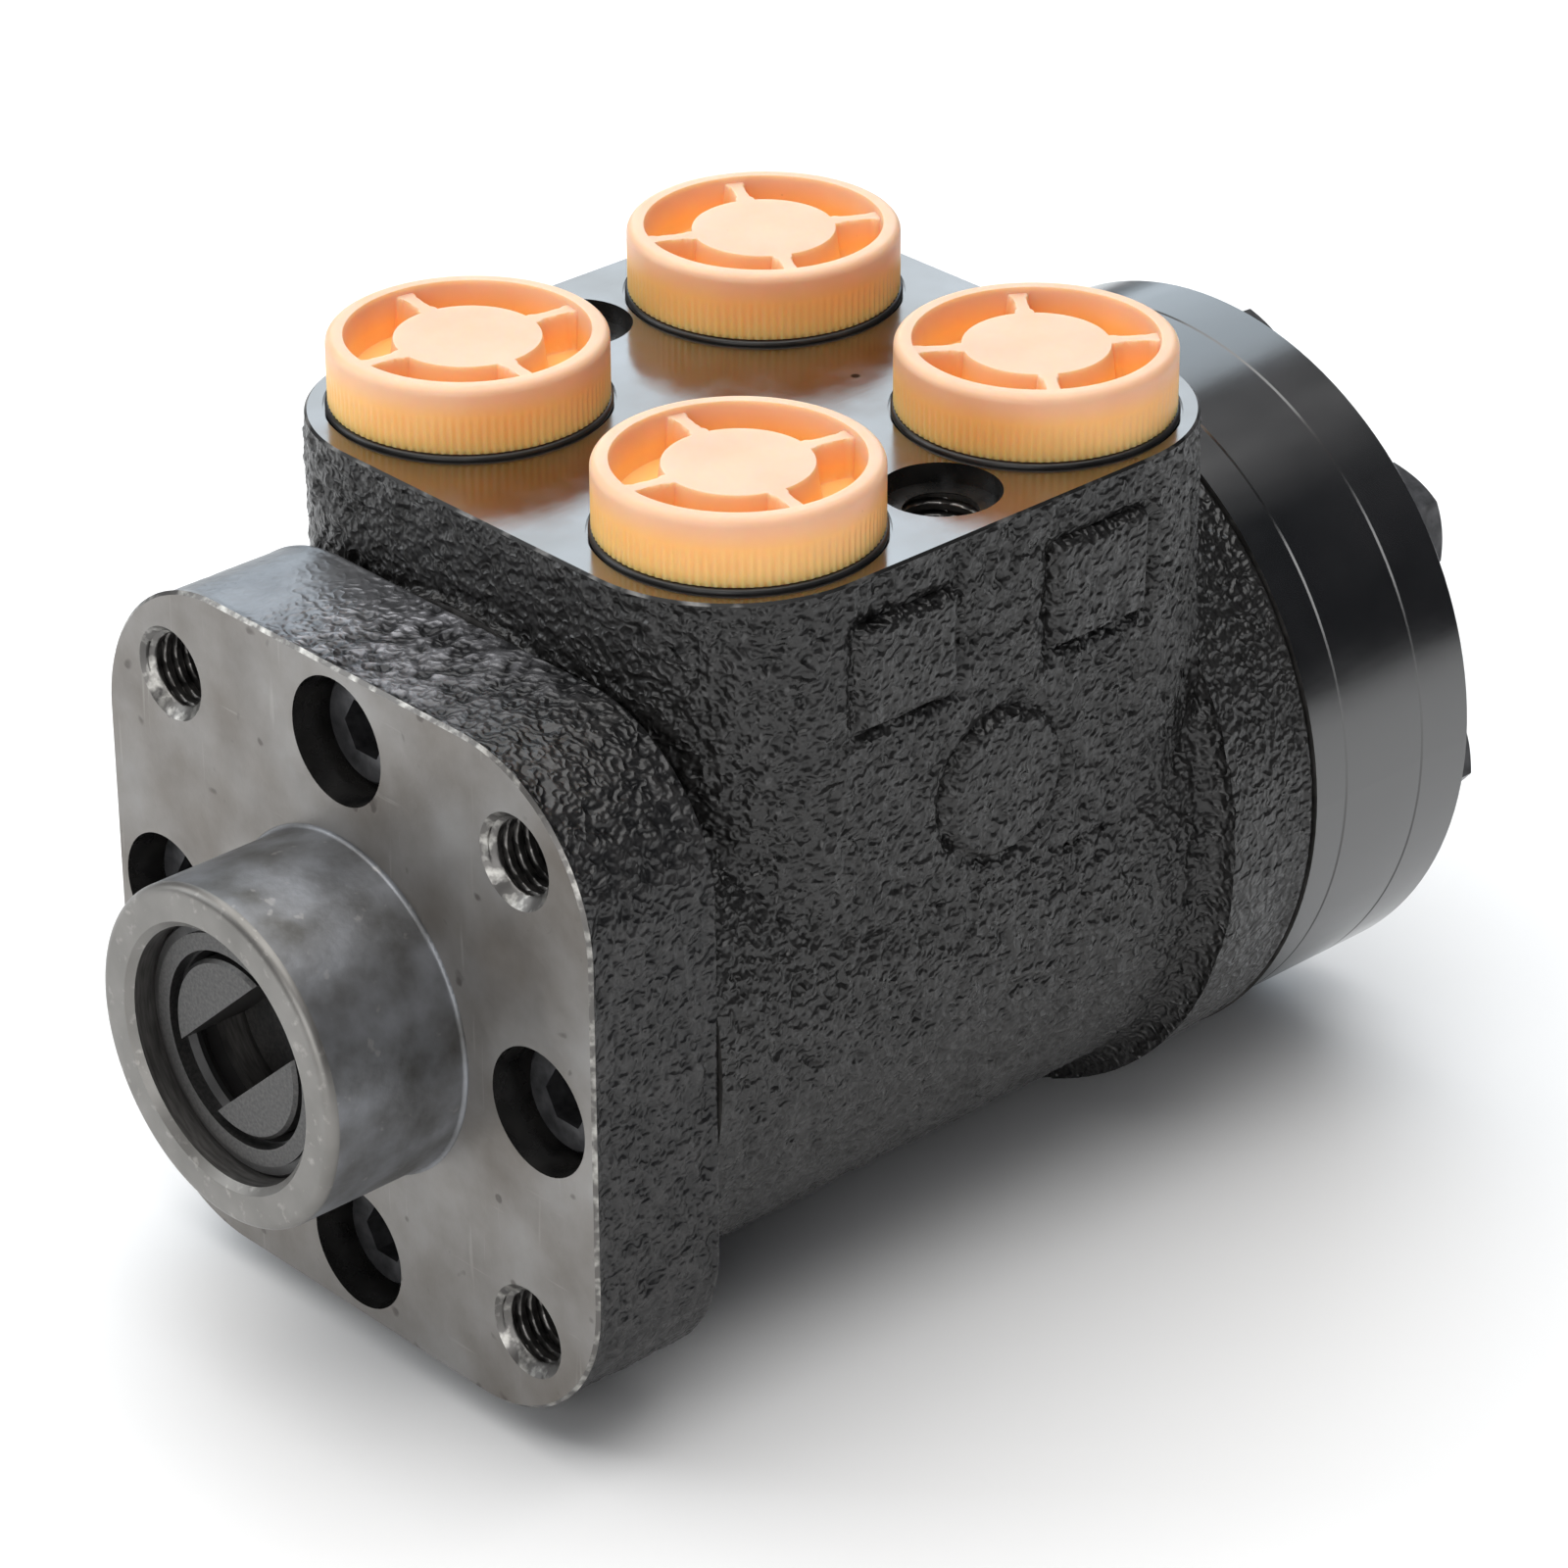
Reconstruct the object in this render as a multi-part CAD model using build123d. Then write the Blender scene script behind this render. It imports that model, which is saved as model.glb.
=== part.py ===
from build123d import *
from math import atan, cos, degrees, hypot, pi, radians, sin, sqrt, tan
import os

# An orbital steering unit: a rotary valve in an iron housing, driven by the steering column at the
# front and metering oil through a gerotor gear set at the back.  Millimetres; the shaft axis is Y,
# the flange's machined face is at Y = 0, the column side is -Y, and the port face looks up (+Z).

# ---- fits and gaps -------------------------------------------------------------------------------
running_gap = 0.05        # radial clearance of the turning fits
thread_gap = 0.05         # radial clearance left round each screw's thread
seat_gap = 0.02           # clearance of pieces laid into a groove or recess
gear_gap = 0.04           # clearance between the star's flanks and the ring's lobes
tilt_gap = 0.35           # clearance of the crowned splines, which tilt in the star
end_play = 0.05           # axial play of the valve members
through = 1.0             # how far a cutting tool runs past the face it cuts

# ---- column flange -------------------------------------------------------------------------------
flange_width = 82.0
flange_corner_r = 20.0
flange_thickness = 18.0
flange_edge_r = 1.0       # cast rounding of the flange's rear edge
flange_face_chamfer = 0.4
collar_r = 20.0
collar_length = 18.5
collar_bore_r = 15.0
collar_edge_r = 1.2
collar_mouth_chamfer = 0.8
collar_root_r = 0.5
collar_foot_depth = 2.0   # the collar's foot is let into the plate's face
neck_hole_gap = 0.4       # radial space round the spool's neck in the flange
spigot_length = 2.0       # ring on the flange's back that centres it in the housing
spigot_wall = 3.5
column_pcd = 82.5         # bolt circle of the steering column
column_tap_r = 4.25       # tapped M10
column_tap_depth = 15.0
column_tap_chamfer = 1.3
flange_screw_offset = 32.0
flange_screw_length = 25.0
counterbore_r = 7.5
counterbore_depth = 12.0

# ---- screws --------------------------------------------------------------------------------------
m8_r = 4.0
m8_clearance_r = 4.4
socket_head_r = 6.5
socket_head_height = 8.0
socket_key = 6.0          # across flats
socket_depth = 4.2
socket_head_chamfer = 0.5
hex_head_key = 13.0
hex_head_height = 5.3
hex_face_r = 6.2          # flat round face on top of the hexagon
hex_crown_angle = 30.0    # slope of the hexagon's bevelled corners
washer_r = 7.6
washer_thickness = 1.5
drill_point = 118.0       # included angle of a drilled hole's end

# ---- housing -------------------------------------------------------------------------------------
housing_length = 90.0
barrel_r = 41.2
block_width = 80.4
block_setback = 1.0       # the port block starts this far behind the housing's front face
block_rear_setback = 6.3  # and ends this far before its back
block_corner_r = 19.0
port_face_height = 52.6
port_face_chamfer = 0.3
rear_flange_r = 44.7
rear_flange_length = 14.4
rear_flange_draft = 3.2   # degrees of cast taper towards the back
rear_flange_edge_r = 1.5
rear_flange_root_r = 3.0
cast_pad_height = 0.6
cast_pad_width = 12.0
cast_pad_tall = 14.0
cast_pad_corner_r = 1.5
cast_pad_spacing = 29.0
cast_pad_below = 12.0     # middle of the pads under the port face
cast_boss_r = 8.5
cast_boss_below = 32.0
valve_bore_r = 19.0
groove_count = 6
groove_first = 56.0       # first oil groove in the valve bore, from the flange's face
groove_pitch = 8.0
groove_width = 3.6
groove_depth = 2.0
gallery_r = 2.2           # the seven galleries to the gear chambers
gallery_circle_r = 26.0
gallery_depth = 20.0

# ---- ports ---------------------------------------------------------------------------------------
port_spacing = 44.5       # both ways
port_bore_r = 9.3         # tapped for the fittings
port_bore_depth = 16.0
port_spotface_r = 16.4
port_spotface_depth = 0.4
port_passage_r = 4.0
fitting_bolt_offset = 30.2
fitting_tap_r = 4.25      # tapped M10
fitting_tap_depth = 20.0
fitting_counterbore_r = 6.8
fitting_counterbore_depth = 2.4
gasket_thickness = 1.3
gasket_wall = 5.0
gasket_gap = 0.2          # radial space round the gasket on its spot face
plug_r = 15.8
plug_height = 8.5         # above the port face
plug_rim_wall = 2.3
plug_rim_round = 1.0
plug_hub_r = 8.6
plug_hub_drop = 0.7
plug_pocket_depth = 5.0
plug_spoke_width = 1.7
plug_stem_length = 11.0
plug_stem_wall = 1.6
plug_turns = {            # degrees that each plug's spokes stand from the X axis
    "port_plug_front_left": -9.0,
    "port_plug_front_right": -13.0,
    "port_plug_rear_left": -28.0,
    "port_plug_rear_right": -36.0,
}
ball_r = 4.0
ball_lift = 1.5
ball_seat_r = 2.6
ball_seat_depth = 28.1     # under the port face
ball_pocket_gap = 0.4
ball_stop_r = 5.5
ball_stop_key = 4.0

# ---- gear set and cover --------------------------------------------------------------------------
spacer_thickness = 6.0
gear_thickness = 13.0
cover_thickness = 8.4
cover_rim_chamfer = 0.5
plate_edge_break = 0.2    # broken edges that show as seams between the plates
gear_outer_r = 43.0
lobe_count = 7
lobe_r = 9.0
lobe_circle_r = 33.5
eccentricity = 3.5
valley_gap = 0.15         # the star's tips clear the ring's valleys by this much
shaft_opening_r = 12.0    # hole in the spacer plate for the tilting shaft
cover_screw_circle_r = 32.0
cover_screw_length = 45.0
spare_thread = 2.0
face_seal_r = 39.2        # middle of the face seals between housing, plate, ring and cover
face_seal_width = 2.0
face_seal_depth = 1.2
flange_seal_r = 24.0
locating_pin_r = 2.0
locating_pin_length = 12.0

# ---- valve members -------------------------------------------------------------------------------
neck_r = 10.4             # spool's neck, seen in the collar
neck_recess = 2.9         # the neck ends this far inside the collar's mouth
tang_slot_width = 8.8
tang_slot_depth = 9.0
tang_slot_angle = 42.0    # turn of the slot at rest, from X towards Z
spool_r = 14.0
spool_wall = 4.1
spool_slot_count = 6
spool_slot_width = 3.0
spool_slot_depth = 1.5
neck_chamfer = 0.4
shoulder_setback = 1.5    # the spool's shoulder stands this far inside the sleeve's end
spool_floor = 1.5         # wall between the spring window and the spool's bore
sleeve_groove_depth = 0.8
sleeve_hole_r = 1.4
spring_window_start = 3.0  # from the sleeve's front end
spring_width = 9.6
spring_leaf = 0.6
spring_bow = 1.2
spring_side_gap = 0.2
spring_ring_wall = 1.4
spring_ring_inset = 0.8   # the ring is narrower than the springs by this much at each end
cross_pin_r = 4.0
cross_pin_place = 46.0    # from the flange's face
cross_pin_inset = 0.5
cross_pin_chamfer = 0.5
spool_twist = 10.0        # degrees that the spool may turn in the sleeve, each way

# ---- drive shaft ---------------------------------------------------------------------------------
shaft_r = 6.2
fork_r = 8.6
fork_reach = 6.5          # fork in front of the cross pin's centre
fork_slot_depth = 5.5     # fork slot behind the cross pin's centre
fork_root = 2.0           # solid length behind the slot
fork_taper = 3.0
fork_chamfer = 0.8
spline_count = 12
spline_tip_r = 9.9
spline_root_r = 8.5
spline_tooth = 2.4
spline_length = 8.8
spline_setback = 0.6      # the splines start this far behind the ring's front
spline_runout = 2.0
spline_crown = 0.25
drive_spacer_r = 8.0
drive_spacer_thickness = 2.4

# ---- thrust bearing and seals --------------------------------------------------------------------
race_thickness = 1.0
race_gap = 0.6            # the races' bore clears the neck by this much
needle_r = 1.0
needle_length = 5.0
needle_count = 14
needle_gap = 0.1          # room round a needle in its window
cage_thickness = 1.4
dust_seal_thickness = 5.6
dust_lip_gap = 0.2        # gap of the wiper's lip, which only brushes the neck
dust_lip_place = 2.0      # from the wiper's front
dust_lip_width = 0.6
dust_lip_relief = 1.4     # the rubber behind the lip stands back this much
dust_seal_bevel = 0.4
dust_ring_r = 13.5
dust_ring_wall = 2.0
dust_ring_thickness = 1.2
dust_ring_stand = 0.4     # the steel ring stands this far out of the rubber
shaft_seal_place = 3.0    # from the flange's face
shaft_seal_width = 4.5
shaft_seal_wall = 3.6
shaft_lip_width = 1.2
shaft_lip_relief = 1.0

# ---- places along the shaft axis -----------------------------------------------------------------
housing_front = flange_thickness
housing_back = housing_front + housing_length
block_length = housing_length - block_setback - block_rear_setback
ring_front = housing_back + spacer_thickness
ring_back = ring_front + gear_thickness
cover_back = ring_back + cover_thickness
cover_screw_tip = cover_back + washer_thickness - cover_screw_length
bearing_front = housing_front + spigot_length
needles_front = bearing_front + race_thickness
needles_back = needles_front + 2 * needle_r
sleeve_front = needles_back + race_thickness + end_play
sleeve_back = housing_back - end_play
neck_front = neck_recess - collar_length
block_middle = housing_front + block_setback + block_length / 2
ball_seat_height = port_face_height - ball_seat_depth
spool_shoulder = sleeve_front + shoulder_setback
spring_front = sleeve_front + spring_window_start
spring_back = spring_front + spring_width
head_front = ring_front + spline_setback
head_middle = head_front + spline_length / 2
shaft_tilt = degrees(atan(eccentricity / (head_middle - cross_pin_place)))
sleeve_r = valve_bore_r - running_gap
port_places = {
    "port_plug_front_left": (-1, -1),
    "port_plug_front_right": (1, -1),
    "port_plug_rear_left": (-1, 1),
    "port_plug_rear_right": (1, 1),
}
cover_screw_angles = [90 + 360 / lobe_count * k for k in range(lobe_count)]
pin_screw_index = 3
check_valve_port = (1, 1)


def rod(radius, start, end, x=0.0, z=0.0):
    """A round bar along Y between two places."""
    bar = Cylinder(radius, end - start, align=(Align.CENTER, Align.CENTER, Align.MIN))
    return Pos(x, start, z) * Rot(-90, 0, 0) * bar


def tube(outer, inner, start, end):
    """A plain ring round the shaft axis."""
    return rod(outer, start, end) - rod(inner, start - through, end + through)


def post(radius, bottom, top, x=0.0, y=0.0):
    """A round bar along Z."""
    bar = Cylinder(radius, top - bottom, align=(Align.CENTER, Align.CENTER, Align.MIN))
    return Pos(x, y, bottom) * bar


def turned(profile):
    """A body of revolution round the shaft axis from (radius, place) corners."""
    return revolve(make_face(Polyline(*profile, close=True)), Axis.Y)


def cone(start_r, end_r, start, length, x=0.0, z=0.0):
    """A cone along Y from one radius to another."""
    body = Cone(start_r, end_r, length, align=(Align.CENTER, Align.CENTER, Align.MIN))
    return Pos(x, start, z) * Rot(-90, 0, 0) * body


def drilled(radius, mouth, depth, x, z, into=1):
    """A blind hole with a drill point, from a face towards the back, or to the front with into = -1."""
    point = radius / tan(radians(drill_point / 2))
    hole = rod(radius, -through, depth) + cone(radius, 0, depth, point)
    return Pos(x, mouth, z) * Rot(0, 0, 0 if into > 0 else 180) * hole


def on_circle(radius, angle):
    """X and Z of a point on a circle round the shaft axis, its angle counted from X towards Z."""
    return radius * cos(radians(angle)), radius * sin(radians(angle))


def hexagon_bar(key, start, end, x=0.0, z=0.0):
    """A six-sided bar along Y, its size taken across flats."""
    face = RegularPolygon(key / 2, 6, major_radius=False)
    bar = extrude(face, end - start)
    return Pos(x, start, z) * Rot(-90, 0, 0) * bar


def column_hole_places():
    """The four tapped holes for the column, at the corners of a square."""
    half = column_pcd / 2 / sqrt(2)
    return [(half, half), (-half, half), (-half, -half), (half, -half)]


def flange_screw_places():
    """The four counterbored screws, at the middle of each side."""
    return [(flange_screw_offset, 0), (0, flange_screw_offset),
            (-flange_screw_offset, 0), (0, -flange_screw_offset)]


def flange_plate():
    """The square plate with rounded corners, its front face machined flat."""
    outline = RectangleRounded(flange_width, flange_width, flange_corner_r)
    plate = Rot(-90, 0, 0) * extrude(outline, flange_thickness)
    plate = fillet(plate.faces().sort_by(Axis.Y)[-1].edges(), flange_edge_r)
    return chamfer(plate.faces().sort_by(Axis.Y)[0].edges(), flange_face_chamfer)


def collar():
    """The hollow collar with a small root radius, a rounded rim and a chamfered mouth."""
    ring = turned([(neck_r, flange_face_chamfer), (collar_r, flange_face_chamfer),
                   (collar_r, -collar_length), (neck_r, -collar_length)])
    rim = ring.edges().filter_by(GeomType.CIRCLE).group_by(Axis.Y)[0].sort_by(SortBy.RADIUS)[-1]
    return fillet(rim, collar_edge_r)


def column_flange():
    """Plate, collar and centring spigot as they are bored together, after the collar is set in."""
    body = flange_plate() + collar()
    root = [e for e in body.edges().filter_by(GeomType.CIRCLE)
            if abs(e.radius - collar_r) < 0.01 and abs(e.center().Y) < 0.01]
    body = fillet(root, collar_root_r)
    spigot_end = flange_thickness + spigot_length
    body += tube(valve_bore_r - seat_gap, valve_bore_r - spigot_wall, flange_thickness - through, spigot_end)
    body -= rod(neck_r + neck_hole_gap, -collar_length - through, spigot_end + through)
    seal_floor = neck_front + dust_ring_stand + dust_seal_thickness + seat_gap
    body -= rod(collar_bore_r, -collar_length - through, seal_floor)
    body -= cone(collar_bore_r + collar_mouth_chamfer, collar_bore_r, -collar_length, collar_mouth_chamfer)
    body -= rod(neck_r + shaft_seal_wall, shaft_seal_place, shaft_seal_place + shaft_seal_width)
    body -= seal_groove(flange_seal_r, flange_thickness, -1)
    for x, z in column_hole_places():
        body -= drilled(column_tap_r, 0, column_tap_depth, x, z)
        body -= cone(column_tap_r + column_tap_chamfer, column_tap_r, 0, column_tap_chamfer, x, z)
    for x, z in flange_screw_places():
        body -= rod(counterbore_r, -through, counterbore_depth, x, z)
        body -= rod(m8_clearance_r, 0, flange_thickness + through, x, z)
    return body


def collar_space(foot_gap):
    """The space of the collar: all in front of the machined face, and its round foot in the plate."""
    reach = collar_length + through
    front = Pos(0, -reach / 2, 0) * Box(flange_width, reach, flange_width)
    return front + rod(collar_r + collar_root_r + foot_gap, -through, collar_foot_depth)


def socket_screw(x, z):
    """One socket-head screw, its head at the bottom of the counterbore."""
    seat = counterbore_depth
    top = seat - socket_head_height
    head = rod(socket_head_r, top, seat, x, z)
    head = chamfer(head.faces().sort_by(Axis.Y)[0].edges(), socket_head_chamfer)
    head -= hexagon_bar(socket_key, top - through, top + socket_depth, x, z)
    return head + rod(m8_r, seat, seat + flange_screw_length, x, z)


def flange_screws():
    """Four M8 screws that hold the column flange on the housing."""
    return Compound([socket_screw(x, z).solid() for x, z in flange_screw_places()])


def face_seal(middle_r, place, into):
    """An O-ring squeezed in its groove: flat where it is pressed, rounded where it is free."""
    half = face_seal_width / 2 - seat_gap
    bevel = 0.3
    deep = into * (face_seal_depth - seat_gap)
    near = into * seat_gap
    return turned([(middle_r - half, near + place + into * bevel), (middle_r - half + bevel, near + place),
                   (middle_r + half - bevel, near + place), (middle_r + half, near + place + into * bevel),
                   (middle_r + half, place + deep - into * bevel), (middle_r + half - bevel, place + deep),
                   (middle_r - half + bevel, place + deep), (middle_r - half, place + deep - into * bevel)])


def seal_groove(middle_r, place, into):
    """The groove for a face seal, cut into a face."""
    start, end = sorted([place - into * through, place + into * face_seal_depth])
    return tube(middle_r + face_seal_width / 2, middle_r - face_seal_width / 2, start, end)


def rear_flange():
    """The housing's round rear flange: cast with draft, filleted into the barrel."""
    front = housing_back - rear_flange_length
    back_r = rear_flange_r - rear_flange_length * tan(radians(rear_flange_draft))
    ring = turned([(0, front), (rear_flange_r, front), (back_r, housing_back), (0, housing_back)])
    rim = ring.edges().filter_by(GeomType.CIRCLE).group_by(Axis.Y)[0].sort_by(SortBy.RADIUS)[-1]
    return fillet(rim, rear_flange_edge_r)


def casting():
    """The outer shape of the housing: round barrel, port block and rear flange."""
    barrel = rod(barrel_r, housing_front, housing_back) + rear_flange()
    front = housing_back - rear_flange_length
    root = [e for e in barrel.edges().filter_by(GeomType.CIRCLE)
            if abs(e.radius - barrel_r) < 0.01 and abs(e.center().Y - front) < 0.01]
    barrel = fillet(root, rear_flange_root_r)
    outline = RectangleRounded(block_width, block_length, block_corner_r)
    block = Pos(0, block_middle, 0) * extrude(outline, port_face_height)
    block = chamfer(block.faces().sort_by(Axis.Z)[-1].edges(), port_face_chamfer)
    return barrel + block


def cast_pads():
    """Plain raised marks on both sides of the block: two square pads and a round boss below them."""
    reach = block_width / 2 + cast_pad_height
    square = extrude(RectangleRounded(cast_pad_tall, cast_pad_width, cast_pad_corner_r), reach)
    boss = extrude(Circle(cast_boss_r), reach)
    marks = []
    for side in (-1, 1):
        turn = Rot(0, side * 90, 0)
        for end in (-1, 1):
            place = Pos(0, block_middle + end * cast_pad_spacing / 2, port_face_height - cast_pad_below)
            marks.append(place * turn * square)
        marks.append(Pos(0, block_middle, port_face_height - cast_boss_below) * turn * boss)
    return marks


def valve_bore():
    """The honed bore for the sleeve, with its ring-shaped oil grooves."""
    bore = rod(valve_bore_r, housing_front - through, housing_back + through)
    for k in range(groove_count):
        middle = groove_first + k * groove_pitch
        bore += rod(valve_bore_r + groove_depth, middle - groove_width / 2, middle + groove_width / 2)
    return bore


def drilling(radius, start, end):
    """A slanting hole between two points."""
    bar = Cylinder(radius, (end - start).length, align=(Align.CENTER, Align.CENTER, Align.MIN))
    return Plane(origin=start, z_dir=end - start) * bar


def oil_passage(side, place, groove):
    """A slanting drilling from the floor of a port to one groove of the valve bore."""
    start = Vector(side * port_spacing / 2, place, port_face_height - port_bore_depth - through)
    reach = (valve_bore_r + groove_depth / 2) / sqrt(2)
    return drilling(port_passage_r, start, Vector(side * reach, groove, reach))


def port_centre(side, end):
    """X and Y of a port's centre on the port face."""
    return side * port_spacing / 2, block_middle + end * port_spacing / 2


def ports():
    """The four threaded ports with their spot faces and passages, and the two tapped holes between."""
    grooves = {(-1, -1): 0, (1, -1): 1, (-1, 1): groove_count - 2, (1, 1): groove_count - 3}
    above = port_face_height + through
    cuts = []
    for side, end in port_places.values():
        x, y = port_centre(side, end)
        cuts.append(post(port_spotface_r, port_face_height - port_spotface_depth, above, x, y))
        cuts.append(post(port_bore_r, port_face_height - port_bore_depth, above, x, y))
        cuts.append(oil_passage(side, y, groove_first + grooves[(side, end)] * groove_pitch))
    for x in (-fitting_bolt_offset, fitting_bolt_offset):
        tap_floor = port_face_height - fitting_tap_depth
        step = port_face_height - fitting_counterbore_depth
        cuts.append(post(fitting_tap_r, tap_floor, above, x, block_middle))
        cuts.append(post(fitting_counterbore_r, step, above, x, block_middle))
    return cuts


def ball_pocket():
    """The check valve's pocket below the rear right port: stop thread, ball bore, seat and drilling."""
    x, y = port_centre(*check_valve_port)
    floor = port_face_height - port_bore_depth
    pocket = post(ball_stop_r, ball_stop_height(), floor + through, x, y)
    pocket += post(ball_r + ball_pocket_gap, ball_seat_height, floor, x, y)
    pocket += post(ball_seat_r, ball_seat_height - ball_seat_r, ball_seat_height + through, x, y)
    wall = valve_bore_r / sqrt(2)
    return pocket + drilling(ball_seat_r, Vector(x, y, ball_seat_height), Vector(wall, y, wall))


def ball_centre_height():
    """The ball rests on the rim of its seat."""
    return ball_seat_height + sqrt(ball_r ** 2 - ball_seat_r ** 2) + seat_gap


def ball_stop_height():
    """Underside of the stop: the ball lifts this far."""
    return ball_centre_height() + ball_r + ball_lift + seat_gap


def cover_screw_holes(start, end):
    """The clearance holes of the seven cover screws."""
    return [rod(m8_clearance_r, start - through, end + through, *on_circle(cover_screw_circle_r, angle))
            for angle in cover_screw_angles]


def gallery_angles():
    """The galleries stand between the cover screws, one for each gear chamber."""
    return [angle + 180 / lobe_count for angle in cover_screw_angles]


def gallery(angle, start, end):
    """One gallery's hole along the shaft axis."""
    return rod(gallery_r, start, end, *on_circle(gallery_circle_r, angle))


def housing():
    """Iron valve housing with its bores, ports, grooves and tapped holes."""
    body = casting() + cast_pads()
    body -= valve_bore()
    body -= ports()
    body -= ball_pocket()
    for x, z in flange_screw_places():
        reach = flange_screw_length - (flange_thickness - counterbore_depth) + spare_thread
        body -= drilled(m8_r + thread_gap, housing_front, reach, x, z)
    for k, angle in enumerate(cover_screw_angles):
        x, z = on_circle(cover_screw_circle_r, angle)
        reach = housing_back - cover_screw_tip + spare_thread
        body -= drilled(m8_r + thread_gap, housing_back, reach, x, z, into=-1)
        if k == pin_screw_index:
            pin_end = cover_screw_tip - locating_pin_length - spare_thread
            body -= rod(locating_pin_r + thread_gap, pin_end, cover_screw_tip, x, z)
    for angle in gallery_angles():
        body -= gallery(angle, housing_back - gallery_depth, housing_back + through)
    return body - seal_groove(face_seal_r, housing_back, -1)


def edge_broken(disc):
    """The disc with both rims slightly chamfered."""
    return chamfer(disc.edges().filter_by(GeomType.CIRCLE), plate_edge_break)


def spacer_plate():
    """Distributor plate: feeds the seven galleries to the seven gear chambers."""
    start, end = housing_back, ring_front
    plate = edge_broken(rod(gear_outer_r, start, end)) - rod(shaft_opening_r, start - through, end + through)
    plate -= cover_screw_holes(start, end)
    return plate - [gallery(angle, start - through, end + through) for angle in gallery_angles()]


def gear_ring():
    """Outer ring of the gear set, with seven round lobes on its inside."""
    tip_r = lobe_circle_r - lobe_r
    valley_r = tip_r + 2 * eccentricity + valley_gap
    inside = Circle(valley_r)
    for angle in cover_screw_angles:
        x, z = on_circle(lobe_circle_r, angle)
        inside -= Pos(x, -z) * Circle(lobe_r)
    ring = edge_broken(rod(gear_outer_r, ring_front, ring_back))
    ring -= Pos(0, ring_front, 0) * Rot(-90, 0, 0) * extrude(inside, gear_thickness)
    ring -= cover_screw_holes(ring_front, ring_back)
    return ring - seal_groove(face_seal_r, ring_front, 1) - seal_groove(face_seal_r, ring_back, -1)


def star_flank(turn):
    """A point of the star's outline: the inner parallel of the trochoid that the lobes' centres trace."""
    x = lobe_circle_r * cos(turn) + eccentricity * cos(lobe_count * turn)
    z = lobe_circle_r * sin(turn) + eccentricity * sin(lobe_count * turn)
    along_x = -lobe_circle_r * sin(turn) - lobe_count * eccentricity * sin(lobe_count * turn)
    along_z = lobe_circle_r * cos(turn) + lobe_count * eccentricity * cos(lobe_count * turn)
    inset = (lobe_r + gear_gap) / hypot(along_x, along_z)
    return x - inset * along_z, z + inset * along_x


def star_outline():
    """Six teeth, each one smooth curve from valley to valley, its points closer in the tight valleys."""
    teeth = lobe_count - 1
    steps = 16
    turns = [sin(pi * (k / steps - 0.5)) * pi / teeth for k in range(steps + 1)]
    tooth = Spline(*[star_flank(turn) for turn in turns])
    return make_face([Rot(0, 0, 90 + 360 / teeth * k) * tooth for k in range(teeth)])


def spline_section(tip, root, tooth):
    """Section of a splined shaft: a round core with straight-sided teeth."""
    section = Circle(root)
    spoke = Pos(tip / 2, 0) * Rectangle(tip, tooth)
    for k in range(spline_count):
        section += Rot(0, 0, 360 / spline_count * k) * spoke
    return section & Circle(tip)


def gear_rotor():
    """The star: six teeth outside, splined bore inside, running off centre in the ring."""
    bore = spline_section(spline_tip_r + tilt_gap, spline_root_r + tilt_gap, spline_tooth + 2 * tilt_gap)
    star = extrude(star_outline() - bore, gear_thickness - 2 * gear_gap)
    return Pos(0, ring_front + gear_gap, -eccentricity) * Rot(-90, 0, 0) * star


def end_cover():
    """Round cover that closes the gear set."""
    plate = rod(gear_outer_r, ring_back, cover_back)
    plate = chamfer(plate.faces().sort_by(Axis.Y)[-1].edges(), cover_rim_chamfer)
    plate = chamfer(plate.faces().sort_by(Axis.Y)[0].edges(), plate_edge_break)
    return plate - cover_screw_holes(ring_back, cover_back)


def hex_screw(angle):
    """One hex-head screw, its head on a washer behind the cover."""
    x, z = on_circle(cover_screw_circle_r, angle)
    under = cover_back + washer_thickness
    head = Pos(x, 0, z) * Rot(0, -angle, 0) * hexagon_bar(hex_head_key, under, under + hex_head_height)
    foot_r = hex_face_r + hex_head_height / tan(radians(hex_crown_angle))
    head &= cone(foot_r, hex_face_r, under, hex_head_height, x, z)
    return head + rod(m8_r, cover_screw_tip, under, x, z)


def cover_screws():
    """Six of the seven screws that clamp cover, ring and spacer plate to the housing."""
    return Compound([hex_screw(angle).solid() for k, angle in enumerate(cover_screw_angles)
                     if k != pin_screw_index])


def pin_screw():
    """The seventh screw, with a locating pin on its end."""
    angle = cover_screw_angles[pin_screw_index]
    x, z = on_circle(cover_screw_circle_r, angle)
    pin_end = cover_screw_tip - locating_pin_length
    return hex_screw(angle) + rod(locating_pin_r, pin_end, cover_screw_tip, x, z)


def screw_washers():
    """Seven copper sealing washers."""
    washers = []
    for angle in cover_screw_angles:
        x, z = on_circle(cover_screw_circle_r, angle)
        washer = rod(washer_r, cover_back, cover_back + washer_thickness, x, z)
        washer -= rod(m8_clearance_r, cover_back - through, cover_back + washer_thickness + through, x, z)
        washers.append(washer.solid())
    return Compound(washers)


def spring_pack_half():
    """Half the thickness of the spring pack at its ends: one flat leaf, two bowed ones and their bow."""
    return 3 * spring_leaf + spring_bow


def spring_window(length):
    """Straight window for the leaf springs, across the valve members."""
    height = 2 * (spring_pack_half() + seat_gap)
    return Pos(0, (spring_front + spring_back) / 2, 0) * Box(height, spring_width + spring_side_gap, length)


def spring_ring_groove():
    """Bounds of the groove for the spring ring in the sleeve."""
    return spring_front + spring_ring_inset, spring_back - spring_ring_inset


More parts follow.
